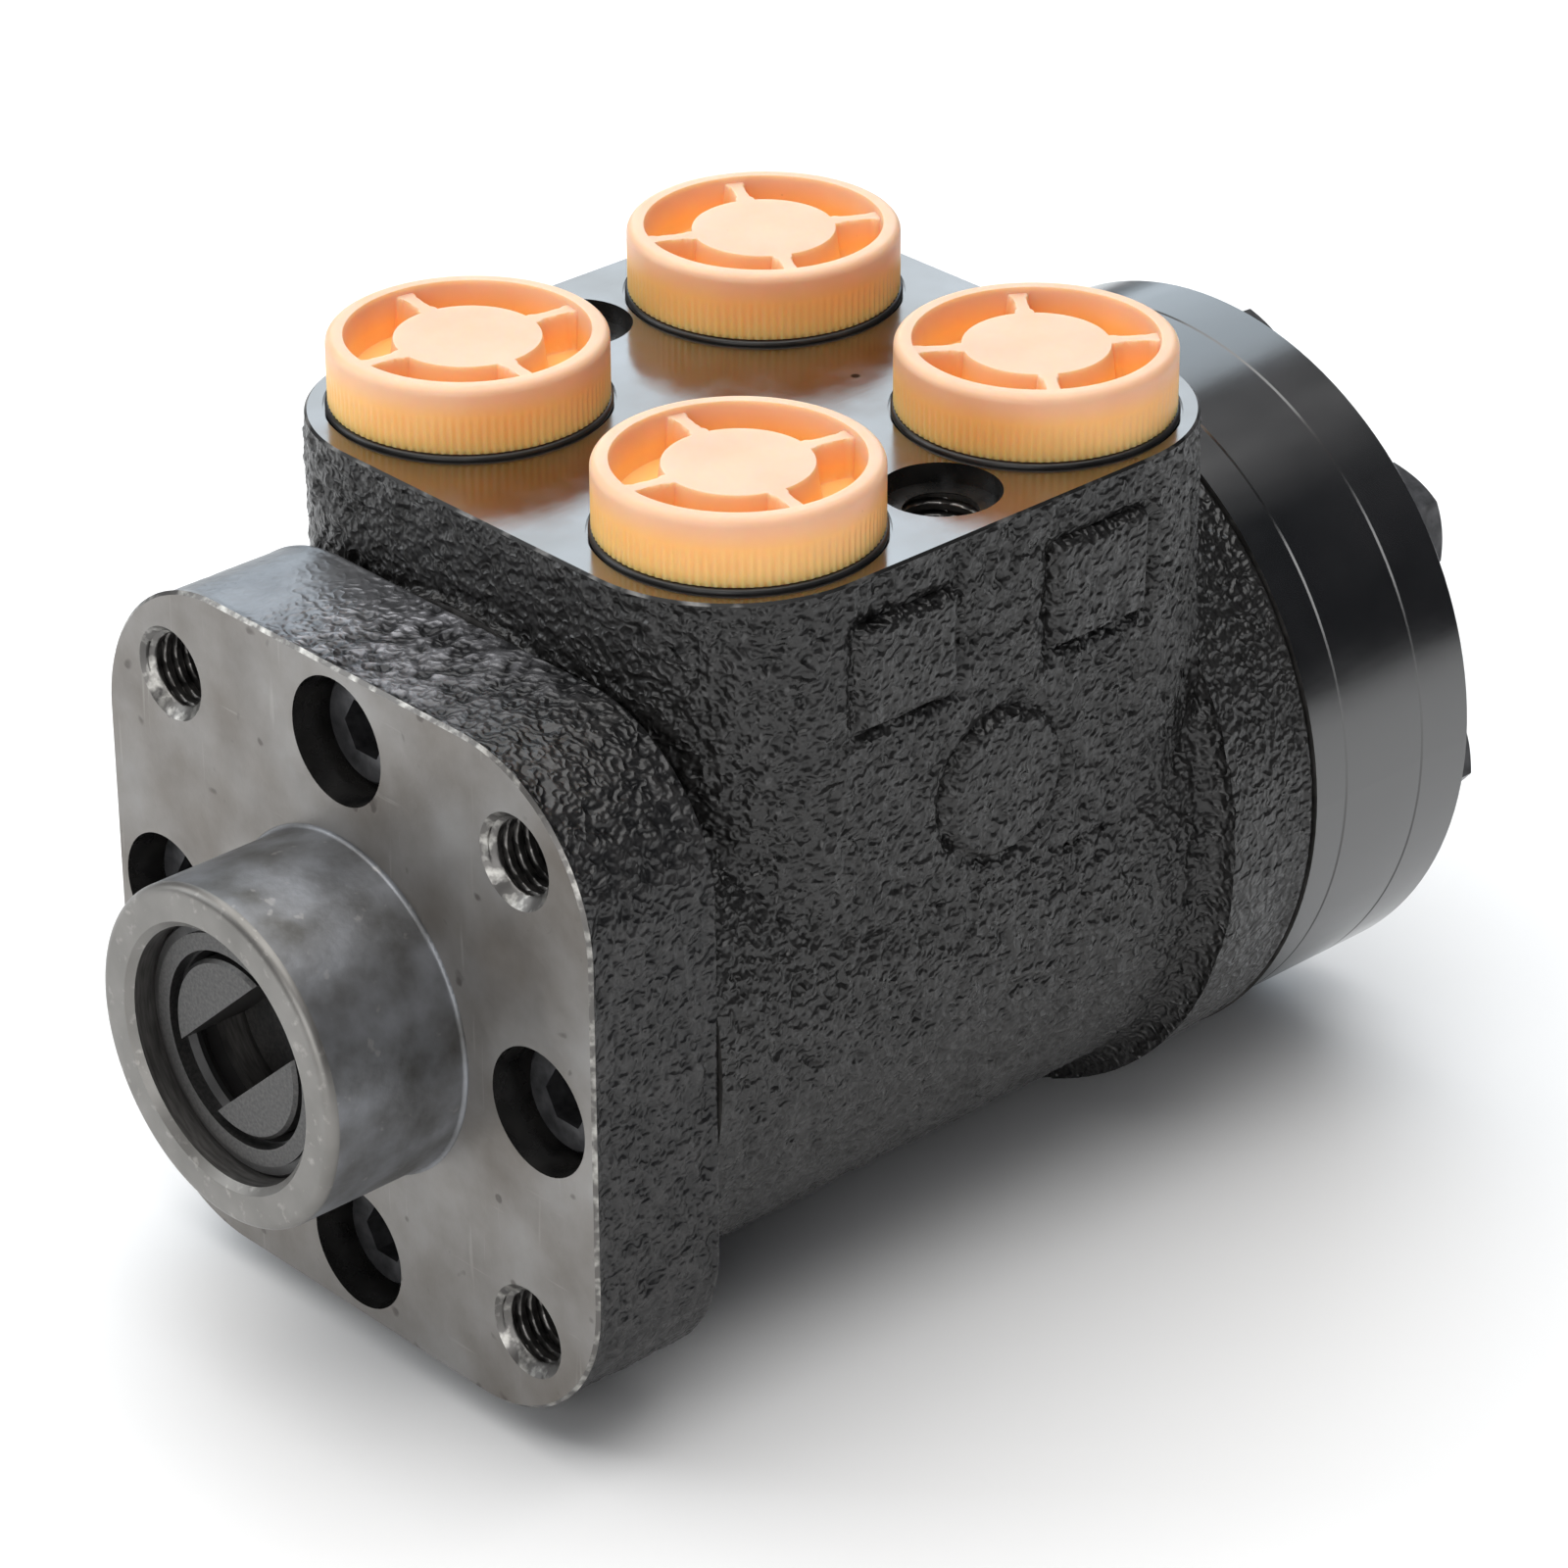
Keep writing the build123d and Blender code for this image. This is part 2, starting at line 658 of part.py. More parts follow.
def sleeve():
    """Outer valve member: a tube with ring grooves, feed holes, pin holes and spring windows."""
    body = tube(sleeve_r, spool_r, sleeve_front, sleeve_back)
    start, end = spring_ring_groove()
    across = 2 * (sleeve_r + through)
    body -= tube(sleeve_r + through, sleeve_r - spring_ring_wall - seat_gap, start, end)
    body -= spring_window(across)
    body -= Pos(0, cross_pin_place, 0) * Rot(0, 90, 0) * Cylinder(cross_pin_r + seat_gap, across)
    for row in (1, groove_count - 2):
        place = groove_first + row * groove_pitch
        half = groove_width / 2
        body -= tube(sleeve_r + through, sleeve_r - sleeve_groove_depth, place - half, place + half)
        for k in range(spool_slot_count // 2):
            hole = Cylinder(sleeve_hole_r, across)
            body -= Pos(0, place, 0) * Rot(0, 360 / spool_slot_count * (k + row), 0) * hole
    return body


def spool():
    """Inner valve member: slotted neck for the column, spring window, pin slots and oil slots."""
    outer = spool_r - running_gap
    body = rod(neck_r, neck_front, spool_shoulder)
    body = chamfer(body.faces().sort_by(Axis.Y)[0].edges(), neck_chamfer)
    body += rod(outer, spool_shoulder, sleeve_back)
    body -= rod(outer - spool_wall, spring_back + spool_floor, sleeve_back + through)
    slot = Box(2 * (neck_r + through), tang_slot_depth + through, tang_slot_width)
    body -= Pos(0, neck_front + (tang_slot_depth - through) / 2, 0) * Rot(0, -tang_slot_angle, 0) * slot
    body -= spring_window(2 * (outer + through))
    swing = outer * sin(radians(spool_twist)) + cross_pin_r / cos(radians(spool_twist)) + running_gap
    pin_slot = SlotOverall(2 * swing, 2 * (cross_pin_r + running_gap + seat_gap))
    body -= Pos(0, cross_pin_place, 0) * Rot(0, 90, 0) * extrude(pin_slot, outer + through, both=True)
    for k in range(spool_slot_count):
        start = groove_first + groove_pitch
        length = groove_pitch * (groove_count - 3)
        cut = Box(spool_slot_depth * 2, length, spool_slot_width)
        turn = Rot(0, 360 / spool_slot_count * (k + 0.5), 0)
        body -= turn * Pos(outer, start + length / 2, 0) * cut
    return body


def cross_pin():
    """Pin that joins the sleeve to the drive shaft's fork."""
    length = 2 * (sleeve_r - cross_pin_inset)
    pin = Pos(0, cross_pin_place, 0) * Rot(0, 90, 0) * Cylinder(cross_pin_r, length)
    return chamfer(pin.edges().filter_by(GeomType.CIRCLE), cross_pin_chamfer)


def leaf_reach():
    """Half length of the leaves: their outermost corners stay inside the spring ring."""
    return sqrt((sleeve_r - spring_ring_wall - 2 * seat_gap) ** 2 - spring_pack_half() ** 2)


def bowed_leaf(side, layer):
    """One bowed spring leaf: a thin arc, its middle on the flat leaves and its ends outwards."""
    half = leaf_reach()
    base = spring_leaf + layer * spring_leaf
    points = [(base, 0), (base + spring_bow, half), (base + spring_bow + spring_leaf, half),
              (base + spring_leaf, 0), (base + spring_bow + spring_leaf, -half), (base + spring_bow, -half)]
    inner = ThreePointArc(points[5], points[0], points[1])
    outer = ThreePointArc(points[2], points[3], points[4])
    face = make_face(inner + Line(points[1], points[2]) + outer + Line(points[4], points[5]))
    leaf = Pos(0, spring_front, 0) * Rot(-90, 0, 0) * extrude(face, spring_width)
    return leaf if side > 0 else mirror(leaf, Plane.YZ)


def centering_springs():
    """Pack of leaf springs: two flat leaves between two pairs of bowed ones."""
    half = leaf_reach()
    leaves = [bowed_leaf(side, layer).solid() for side in (-1, 1) for layer in (0, 1)]
    for side in (-1, 1):
        flat = Box(spring_leaf, spring_width, 2 * half)
        leaves.append((Pos(side * spring_leaf / 2, (spring_front + spring_back) / 2, 0) * flat).solid())
    return Compound(leaves)


def spring_ring():
    """Thin ring round the sleeve that keeps the spring pack in."""
    start, end = spring_ring_groove()
    return tube(sleeve_r, sleeve_r - spring_ring_wall, start + seat_gap, end - seat_gap)


def drive_shaft():
    """Cardan shaft: fork on the cross pin in front, crowned splines in the star behind."""
    reach = head_middle - cross_pin_place
    length = reach / cos(radians(shaft_tilt))
    root_end = cross_pin_place + fork_slot_depth + fork_root
    head_start = cross_pin_place + length - spline_length / 2
    head_end = head_start + spline_length
    fork_front = cross_pin_place - fork_reach
    bar = turned([(0, fork_front), (fork_r - fork_chamfer, fork_front), (fork_r, fork_front + fork_chamfer),
                  (fork_r, root_end), (shaft_r, root_end + fork_taper), (shaft_r, head_start - spline_runout),
                  (spline_root_r - spline_crown, head_start), (0, head_start)])
    full, ends, quarter = spline_tip_r, spline_tip_r - spline_crown, spline_length / 4
    barrel = turned([(0, head_start), (ends, head_start), (full, head_start + quarter),
                     (full, head_end - quarter), (ends, head_end), (0, head_end)])
    teeth = extrude(spline_section(spline_tip_r + through, spline_root_r, spline_tooth), spline_length)
    bar += barrel & (Pos(0, head_start, 0) * Rot(-90, 0, 0) * teeth)
    slot_height = 2 * (cross_pin_r + running_gap)
    slot_start = fork_front - through
    slot_end = cross_pin_place + fork_slot_depth
    slot = Box(2 * (fork_r + through), slot_end - slot_start, slot_height)
    bar -= Pos(0, (slot_start + slot_end) / 2, 0) * slot
    pivot = Pos(0, cross_pin_place, 0)
    return pivot * Rot(-shaft_tilt, 0, 0) * Pos(0, -cross_pin_place, 0) * bar


def drive_spacer():
    """Disc behind the shaft's end, loose in the star's bore."""
    back = ring_back - gear_gap
    return Pos(0, 0, -eccentricity) * rod(drive_spacer_r, back - drive_spacer_thickness, back)


def bearing_race(front):
    """A flat hardened washer of the thrust bearing."""
    return tube(valve_bore_r - running_gap, neck_r + race_gap, front, front + race_thickness)


def needle_cage():
    """Cage of the thrust bearing with its needles, which lie like spokes between the races."""
    middle = (needles_front + needles_back) / 2
    outer, inner = valve_bore_r - 2 * running_gap, neck_r + race_gap + running_gap
    cage = tube(outer, inner, middle - cage_thickness / 2, middle + cage_thickness / 2)
    needles = []
    for k in range(needle_count):
        spoke = Rot(0, 360 / needle_count * k, 0) * Pos((outer + inner) / 2, middle, 0) * Rot(0, 90, 0)
        cage -= spoke * Box(2 * (needle_r + needle_gap), 4 * needle_r, needle_length + 2 * needle_gap)
        needles.append((spoke * Cylinder(needle_r - seat_gap, needle_length)).solid())
    return Compound([cage.solid()] + needles)


def dust_seal():
    """Rubber wiper in the collar, with a step for its steel ring."""
    front = neck_front + dust_ring_stand
    back = front + dust_seal_thickness
    step = front + dust_ring_thickness + seat_gap
    outer, inner = collar_bore_r - seat_gap, dust_ring_r + seat_gap
    lip = neck_r + dust_lip_gap
    lip_start = front + dust_lip_place
    lip_end = lip_start + dust_lip_width
    throat = lip + dust_lip_relief
    return turned([(outer, front + dust_seal_bevel), (outer, back), (throat, back),
                   (throat, lip_end + dust_lip_relief), (lip, lip_end), (lip, lip_start),
                   (lip + dust_lip_width, step), (inner, step), (inner, front),
                   (outer - dust_seal_bevel, front)])


def dust_seal_ring():
    """Steel ring pressed into the wiper's face."""
    back = neck_front + dust_ring_stand + dust_ring_thickness
    return tube(dust_ring_r, dust_ring_r - dust_ring_wall, neck_front, back)


def shaft_seal():
    """Pressure seal round the spool's neck, in a groove of the flange."""
    outer = neck_r + shaft_seal_wall - seat_gap
    inner = neck_r + running_gap
    start, end = shaft_seal_place + seat_gap, shaft_seal_place + shaft_seal_width - seat_gap
    middle, half, throat = (start + end) / 2, shaft_lip_width / 2, inner + shaft_lip_relief
    return turned([(outer, start), (outer, end), (throat, end), (inner, middle + half),
                   (inner, middle - half), (throat, start)])


def port_plug(name):
    """Plastic plug: a flat cap with a rim, a hub and four spokes, and a hollow stem in the port."""
    under = port_face_height - port_spotface_depth + gasket_thickness
    top = port_face_height + plug_height
    web_top = top - plug_hub_drop
    cap = post(plug_r, under, top)
    cap = fillet(cap.faces().sort_by(Axis.Z)[-1].edges(), plug_rim_round)
    cap -= post(plug_r - plug_rim_wall, top - plug_pocket_depth, top + through)
    cap += post(plug_hub_r, under, web_top)
    spoke = Box(2 * plug_r - plug_rim_wall, plug_spoke_width, web_top - under)
    for turn in (0, 90):
        cap += Pos(0, 0, (under + web_top) / 2) * Rot(0, 0, turn) * spoke
    stem_r = port_bore_r - running_gap
    stem_end = under - plug_stem_length
    stem = post(stem_r, stem_end, under) - post(stem_r - plug_stem_wall, stem_end - through, under)
    return Pos(*port_centre(*port_places[name]), 0) * Rot(0, 0, plug_turns[name]) * (cap + stem)


def port_gaskets():
    """Black sealing rings on the four spot faces, under the plugs' caps."""
    low = port_face_height - port_spotface_depth
    high = low + gasket_thickness
    outer = port_spotface_r - gasket_gap
    ring = post(outer, low, high) - post(outer - gasket_wall, low - through, high + through)
    return Compound([(Pos(*port_centre(side, end), 0) * ring).solid() for side, end in port_places.values()])


def check_ball():
    """Steel ball on its seat below the rear right port."""
    return Pos(*port_centre(*check_valve_port), ball_centre_height()) * Sphere(ball_r)


def ball_stop():
    """Threaded bush that limits the ball's lift."""
    x, y = port_centre(*check_valve_port)
    top = port_face_height - port_bore_depth - seat_gap
    bush = post(ball_stop_r - thread_gap, ball_stop_height() + seat_gap, top, x, y)
    key = extrude(RegularPolygon(ball_stop_key / 2, 6, major_radius=False), top + through)
    return bush - Pos(x, y, 0) * key


pieces = {
    "housing": housing(),
    "mounting_flange": column_flange() - collar_space(seat_gap),
    "column_collar": column_flange() & collar_space(0),
    "flange_screws": flange_screws(),
    "flange_o_ring": face_seal(flange_seal_r, flange_thickness, -1),
    "housing_o_ring": face_seal(face_seal_r, housing_back, -1),
    "ring_o_ring": face_seal(face_seal_r, ring_front, 1),
    "cover_o_ring": face_seal(face_seal_r, ring_back, -1),
    "dust_seal": dust_seal(),
    "dust_seal_ring": dust_seal_ring(),
    "shaft_seal": shaft_seal(),
    "bearing_outer_race": bearing_race(bearing_front),
    "bearing_inner_race": bearing_race(needles_back),
    "needle_cage": needle_cage(),
    "sleeve": sleeve(),
    "spool": spool(),
    "cross_pin": cross_pin(),
    "centering_springs": centering_springs(),
    "spring_ring": spring_ring(),
    "drive_shaft": drive_shaft(),
    "spacer_plate": spacer_plate(),
    "gear_ring": gear_ring(),
    "gear_rotor": gear_rotor(),
    "drive_spacer": drive_spacer(),
    "end_cover": end_cover(),
    "cover_screws": cover_screws(),
    "pin_screw": pin_screw(),
    "screw_washers": screw_washers(),
    "port_gaskets": port_gaskets(),
    "check_ball": check_ball(),
    "ball_stop": ball_stop(),
}
for plug in port_places:
    pieces[plug] = port_plug(plug)

os.makedirs("parts", exist_ok=True)
for name, shape in pieces.items():
    export_step(shape, f"parts/{name}.step")
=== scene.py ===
import math

import bpy
import numpy as np
from mathutils import Matrix, Vector


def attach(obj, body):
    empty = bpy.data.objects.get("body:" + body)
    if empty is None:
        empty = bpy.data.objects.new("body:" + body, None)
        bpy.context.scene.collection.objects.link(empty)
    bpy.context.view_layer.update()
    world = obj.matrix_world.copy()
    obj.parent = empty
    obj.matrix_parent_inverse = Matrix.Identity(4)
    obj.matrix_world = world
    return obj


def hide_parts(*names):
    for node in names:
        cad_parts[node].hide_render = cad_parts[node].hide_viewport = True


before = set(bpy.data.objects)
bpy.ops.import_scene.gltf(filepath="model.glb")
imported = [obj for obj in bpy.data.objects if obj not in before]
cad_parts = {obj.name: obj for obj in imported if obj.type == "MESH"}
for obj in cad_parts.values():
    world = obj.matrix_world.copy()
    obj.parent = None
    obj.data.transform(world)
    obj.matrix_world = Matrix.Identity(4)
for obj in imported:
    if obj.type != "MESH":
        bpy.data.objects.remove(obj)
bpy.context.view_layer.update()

# ---- Studio ---------------------------------------------------------------------------------------
# A plain white table under a large overhead softbox, with windows behind and to the left and a dim room
# round it.  The camera is a long lens at arm's length, to the right of the flange and above it.
mm = 0.001
scene = bpy.context.scene
scene.view_settings.view_transform = "Standard"

camera_place = Vector((446.5, -345.8, 331.3)) * mm
camera_azimuth, camera_elevation, camera_roll = map(math.radians, (47.562, 28.392, -0.327))
towards_camera = Vector((math.sin(camera_azimuth) * math.cos(camera_elevation),
                         -math.cos(camera_azimuth) * math.cos(camera_elevation),
                         math.sin(camera_elevation)))
level_right = Vector((math.cos(camera_azimuth), math.sin(camera_azimuth), 0))
level_up = towards_camera.cross(level_right)
camera_right = level_right * math.cos(camera_roll) + level_up * math.sin(camera_roll)
camera_up = level_up * math.cos(camera_roll) - level_right * math.sin(camera_roll)
camera = bpy.data.objects.new("camera", bpy.data.cameras.new("camera"))
camera.matrix_world = (Matrix.Translation(camera_place)
                       @ Matrix((camera_right, camera_up, towards_camera)).transposed().to_4x4())
camera.data.sensor_width = 36.0
camera.data.lens = 137.09
camera.data.shift_x, camera.data.shift_y = 0.0102, -0.0026
scene.collection.objects.link(camera)
scene.camera = camera

table_height, table_reach = -44.75, 6000.0
table_mesh = bpy.data.meshes.new("table")
table_corners = [(x * table_reach * mm, y * table_reach * mm, table_height * mm)
                 for x, y in ((-1, -1), (1, -1), (1, 1), (-1, 1))]
table_mesh.from_pydata(table_corners, [], [(0, 1, 2, 3)])
table = bpy.data.objects.new("table", table_mesh)
scene.collection.objects.link(table)
white_table = bpy.data.materials.new("white_table")
white_table.use_nodes = True
shader = white_table.node_tree.nodes["Principled BSDF"]
shader.inputs["Base Color"].default_value = (0.93, 0.93, 0.93, 1)
shader.inputs["Roughness"].default_value = 0.9
table_mesh.materials.append(white_table)

room = bpy.data.worlds.new("room")
scene.world = room
room.use_nodes = True
sky = room.node_tree
height_above = sky.nodes.new("ShaderNodeSeparateXYZ")
room_tone = sky.nodes.new("ShaderNodeValToRGB")
sky.links.new(sky.nodes.new("ShaderNodeTexCoord").outputs["Generated"], height_above.inputs[0])
sky.links.new(height_above.outputs["Z"], room_tone.inputs["Fac"])
sky.links.new(room_tone.outputs["Color"], sky.nodes["Background"].inputs["Color"])
room_tone.color_ramp.elements[0].position = 0.0
room_tone.color_ramp.elements[0].color = (0.03, 0.03, 0.034, 1)
room_tone.color_ramp.elements[1].position = 0.85
room_tone.color_ramp.elements[1].color = (0.70, 0.70, 0.71, 1)
middle_tone = room_tone.color_ramp.elements.new(0.64)
middle_tone.color = (0.05, 0.053, 0.06, 1)
sky.nodes["Background"].inputs["Strength"].default_value = 1.0


def softbox(name, place, aim, size, power, colour):
    """A square area light at one place, turned to look at another."""
    light = bpy.data.lights.new(name, "AREA")
    light.size, light.energy, light.color = size * mm, power, colour
    lamp = bpy.data.objects.new(name, light)
    lamp.location = Vector(place) * mm
    lamp.rotation_euler = (Vector(aim) - Vector(place)).to_track_quat("-Z", "Y").to_euler()
    scene.collection.objects.link(lamp)


softbox("overhead", (-100, 0, 900), (0, 50, 0), 1300, 10.5, (1.0, 0.99, 0.97))
softbox("left_window", (-700, -450, 420), (0, 30, 10), 500, 2.4, (0.95, 0.98, 1.0))
softbox("back_window", (-700, 720, 520), (0, 90, 20), 850, 4.8, (0.80, 0.91, 1.0))
softbox("front_fill", (500, -900, 300), (0, 0, 0), 700, 3.8, (1.0, 1.0, 1.0))

# ---- Housing casting ------------------------------------------------------------------------------
# A sand-cast iron body: a barrel with a square port block on top and a round flange behind.  Only the
# two ends and the port face are machined; the rest keeps its wrinkled skin under satin black paint.
barrel_r = 41.2
housing_front, housing_back = 18.0, 108.0
block_half_width, block_half_length, block_middle = 40.2, 41.35, 60.35
block_corner_r = 19.0
port_face, port_face_edge = 52.6, 0.3
rear_flange_r, rear_flange_start, rear_flange_draft = 44.7, 93.6, 3.2
rear_flange_root, rear_flange_edge = 3.0, 1.5
front_root_r, side_root_r = 0.8, 4.0
skin_step, barrel_skin_depth, block_skin_depth = 0.6, 0.42, 0.46
barrel_columns, outline_columns, wall_rows, root_rows = 432, 500, 66, 14
worm_width, grit_width, swell_width, sand_width = 2.1, 1.4, 6.0, 1.5
hair = 0.01


def cast_noise(points, grain, seed):
    """Smooth noise in space: a random slope stands at each corner of a lattice of cubes as wide as the
    grain, and a point blends the slopes of the eight corners round it with 6t^5 - 15t^4 + 10t^3."""
    lattice = 48
    slopes = np.random.default_rng(seed).normal(size=(lattice, lattice, lattice, 3))
    place = points / grain
    cell = np.floor(place).astype(int)
    inside = place - cell
    fade = inside ** 3 * (inside * (6 * inside - 15) + 10)
    total = np.zeros(points.shape[:-1])
    for corner in np.ndindex(2, 2, 2):
        step = np.array(corner)
        slope = slopes[tuple(np.moveaxis((cell + step) % lattice, -1, 0))]
        share = np.prod(np.where(step, fade, 1 - fade), axis=-1)
        total += share * np.sum(slope * (inside - step), axis=-1)
    return total


def sand_skin(points):
    """Height of the cast skin, about -1 to 1: worm-like ridges, a level less the size of a coarse noise,
    with a finer grit and slow swells over them."""
    worms = 0.55 - np.abs(cast_noise(points, worm_width, 3)) * 2.2
    grit, swells = cast_noise(points, grit_width, 5), cast_noise(points, swell_width, 8)
    return 0.60 * worms + 0.50 * grit + 0.35 * swells


def ease(share):
    """Soft step from 0 to 1: 3t^2 - 2t^3."""
    share = np.clip(share, 0, 1)
    return share * share * (3 - 2 * share)


def grid_faces(rows, columns):
    """Four-cornered faces between the rows of a grid whose columns run right round."""
    row, column = np.meshgrid(np.arange(rows - 1), np.arange(columns), indexing="ij")
    beside = (column + 1) % columns
    return np.stack([row * columns + column, row * columns + beside,
                     (row + 1) * columns + beside, (row + 1) * columns + column], -1).reshape(-1, 4)


def roughened(points, depth, even=0.0):
    """A closed-round grid pushed along its own normals, the cross product of its two directions, by the
    skin's height times a depth, less an even inset.  Gives the grid and the height."""
    along = np.roll(points, -1, 1) - np.roll(points, 1, 1)
    across = np.gradient(points, axis=0)
    normal = np.cross(along, across)
    normal /= np.maximum(np.linalg.norm(normal, axis=-1, keepdims=True), 1e-9)
    height = sand_skin(points)
    return points + normal * (depth * height - even)[..., None], height


def make_piece(name, points, faces, finishes, body, slot, crisp=40.0, choice=None, grain=None):
    """A mesh object at the origin from points in millimetres, riding on a body.  Faces that meet at
    more than the crisp angle keep a hard edge.  choice is each face's finish, grain each point's height.
    faces is a list where their corners differ in number."""
    mesh = bpy.data.meshes.new(name)
    corners = faces if isinstance(faces, list) else faces.tolist()
    mesh.from_pydata((np.asarray(points, float).reshape(-1, 3) * mm).tolist(), [], corners)
    for finish in finishes:
        mesh.materials.append(finish)
    mesh.polygons.foreach_set("use_smooth", np.ones(len(faces), bool))
    if choice is not None:
        mesh.polygons.foreach_set("material_index", np.asarray(choice, np.int32))
    if grain is not None:
        layer = mesh.attributes.new("grain", "FLOAT", "POINT")
        layer.data.foreach_set("value", np.asarray(grain, np.float32).ravel())
    mesh.set_sharp_from_angle(angle=math.radians(crisp))
    piece = bpy.data.objects.new(name, mesh)
    scene.collection.objects.link(piece)
    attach(piece, body)
    return piece


def solid_surface(node):
    """The triangles of a CAD node with their doubled corners merged: points in millimetres and faces."""
    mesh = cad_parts[node].data
    places = np.empty(len(mesh.vertices) * 3, np.float32)
    mesh.vertices.foreach_get("co", places)
    corners = np.empty(len(mesh.loops), np.int32)
    mesh.loops.foreach_get("vertex_index", corners)
    points, merged = np.unique(np.round(places.reshape(-1, 3) / mm, 4), axis=0, return_inverse=True)
    faces = merged.ravel()[corners].reshape(-1, 3)
    whole = (faces[:, 0] != faces[:, 1]) & (faces[:, 1] != faces[:, 2]) & (faces[:, 2] != faces[:, 0])
    return points, faces[whole]


def kept_faces(points, faces, keep):
    """The faces marked keep, with only the points that they use."""
    used, faces = np.unique(faces[keep], return_inverse=True)
    return points[used], faces.reshape(-1, 3)


def new_finish(name, metallic=0.0, roughness=0.5, ior=1.5):
    """A new material with its shader's plain values; gives the material, its tree and its shader."""
    finish = bpy.data.materials.new(name)
    finish.use_nodes = True
    shader = finish.node_tree.nodes["Principled BSDF"]
    shader.inputs["Metallic"].default_value = metallic
    shader.inputs["Roughness"].default_value = roughness
    shader.inputs["IOR"].default_value = ior
    return finish, finish.node_tree, shader


def object_places(tree, stretch=(1, 1, 1)):
    """Object coordinates, each axis times its stretch."""
    places = tree.nodes.new("ShaderNodeTexCoord").outputs["Object"]
    if stretch == (1, 1, 1):
        return places
    mapping = tree.nodes.new("ShaderNodeMapping")
    mapping.inputs["Scale"].default_value = stretch
    tree.links.new(places, mapping.inputs["Vector"])
    return mapping.outputs["Vector"]


def axes_of(tree):
    """The object coordinates one by one: three outputs, X, Y and Z."""
    axes = tree.nodes.new("ShaderNodeSeparateXYZ")
    tree.links.new(object_places(tree), axes.inputs[0])
    return axes.outputs


def skin_height(tree, given, wanted):
    """The height that the sand skin left on each point, mapped from one range to another."""
    height = tree.nodes.new("ShaderNodeAttribute")
    height.attribute_name = "grain"
    return spread(tree, height.outputs["Fac"], given, wanted)


def grain_of(tree, grain, detail=3.0, stretch=(1, 1, 1), contrast=(0.3, 0.7), seed=0.0):
    """Noise 0 to 1 whose cells are about one grain wide, in millimetres, its contrast spread between
    two levels."""
    noise = tree.nodes.new("ShaderNodeTexNoise")
    noise.noise_dimensions = "4D"
    noise.inputs["W"].default_value = seed
    noise.inputs["Scale"].default_value = 1000.0 / grain
    noise.inputs["Detail"].default_value = detail
    tree.links.new(object_places(tree, stretch), noise.inputs["Vector"])
    return spread(tree, noise.outputs["Fac"], contrast, (0.0, 1.0))


def spread(tree, value, given, wanted):
    """A value mapped from one range to another and held inside it."""
    mapping = tree.nodes.new("ShaderNodeMapRange")
    for name, number in zip(("From Min", "From Max", "To Min", "To Max"), (*given, *wanted)):
        mapping.inputs[name].default_value = number
    tree.links.new(value, mapping.inputs["Value"])
    return mapping.outputs["Result"]


def blend_tones(tree, share, first, second):
    """A colour between two colours or colour outputs."""
    mix = tree.nodes.new("ShaderNodeMix")
    mix.data_type = "RGBA"
    tree.links.new(share, mix.inputs["Factor"])
    for socket, tone in ((mix.inputs["A"], first), (mix.inputs["B"], second)):
        if isinstance(tone, tuple):
            socket.default_value = (*tone, 1)
        else:
            tree.links.new(tone, socket)
    return mix.outputs["Result"]


def tone_by(tree, shader, share, first, second):
    """The shader's colour, blended between two by a share."""
    tree.links.new(blend_tones(tree, share, first, second), shader.inputs["Base Color"])


def gloss_by(tree, shader, share, low, high):
    """The shader's roughness, from low to high by a share."""
    tree.links.new(spread(tree, share, (0, 1), (low, high)), shader.inputs["Roughness"])


def worked(tree, rule, first, second):
    """Two values put together by one rule of arithmetic; either may be a number."""
    node = tree.nodes.new("ShaderNodeMath")
    node.operation = rule
    for socket, value in zip(node.inputs, (first, second)):
        if isinstance(value, (int, float)):
            socket.default_value = value
        else:
            tree.links.new(value, socket)
    return node.outputs["Value"]


def raise_bumps(tree, shader, height, depth, strength=1.0):
    """Bumps of the height, 0 to 1, times a depth in millimetres, on the shader's normal."""
    bump = tree.nodes.new("ShaderNodeBump")
    bump.inputs["Strength"].default_value = strength
    bump.inputs["Distance"].default_value = depth * mm
    tree.links.new(height, bump.inputs["Height"])
    tree.links.new(bump.outputs["Normal"], shader.inputs["Normal"])


def worm_ridges(tree, grain, seed):
    """Crooked ridges, 0 to 1, about a grain apart: one minus twice how far a noise is off its middle."""
    noise = grain_of(tree, grain, 1.0, seed=seed)
    off_middle = worked(tree, "ABSOLUTE", worked(tree, "SUBTRACT", noise, 0.5), 0.0)
    return worked(tree, "SUBTRACT", 1.0, worked(tree, "MULTIPLY", off_middle, 2.0))


# Satin black paint: ridges and the fine worm marks of the sand painted paler than the hollows, a painted
# highlight on the crests, with the worm marks also in the bumps, and patches where the paint lies thicker.
painted_casting, tree, shader = new_finish("painted_casting")
sand = worm_ridges(tree, sand_width, 4.0)
# Painted highlight: the skin's crests and the worm ridges are coloured paler than the hollows.
crest_highlight = worked(tree, "ADD", skin_height(tree, (-0.3, 0.7), (0.0, 0.6)), worked(tree, "MULTIPLY", sand, 0.4))
tone = blend_tones(tree, crest_highlight, (0.001, 0.001, 0.001), (0.030, 0.029, 0.029))
tone_by(tree, shader, grain_of(tree, 14.0, 2.0), tone, (0.013, 0.0125, 0.012))
gloss_by(tree, shader, grain_of(tree, 3.0, seed=2.0), 0.24, 0.40)
raise_bumps(tree, shader, sand, 0.34)


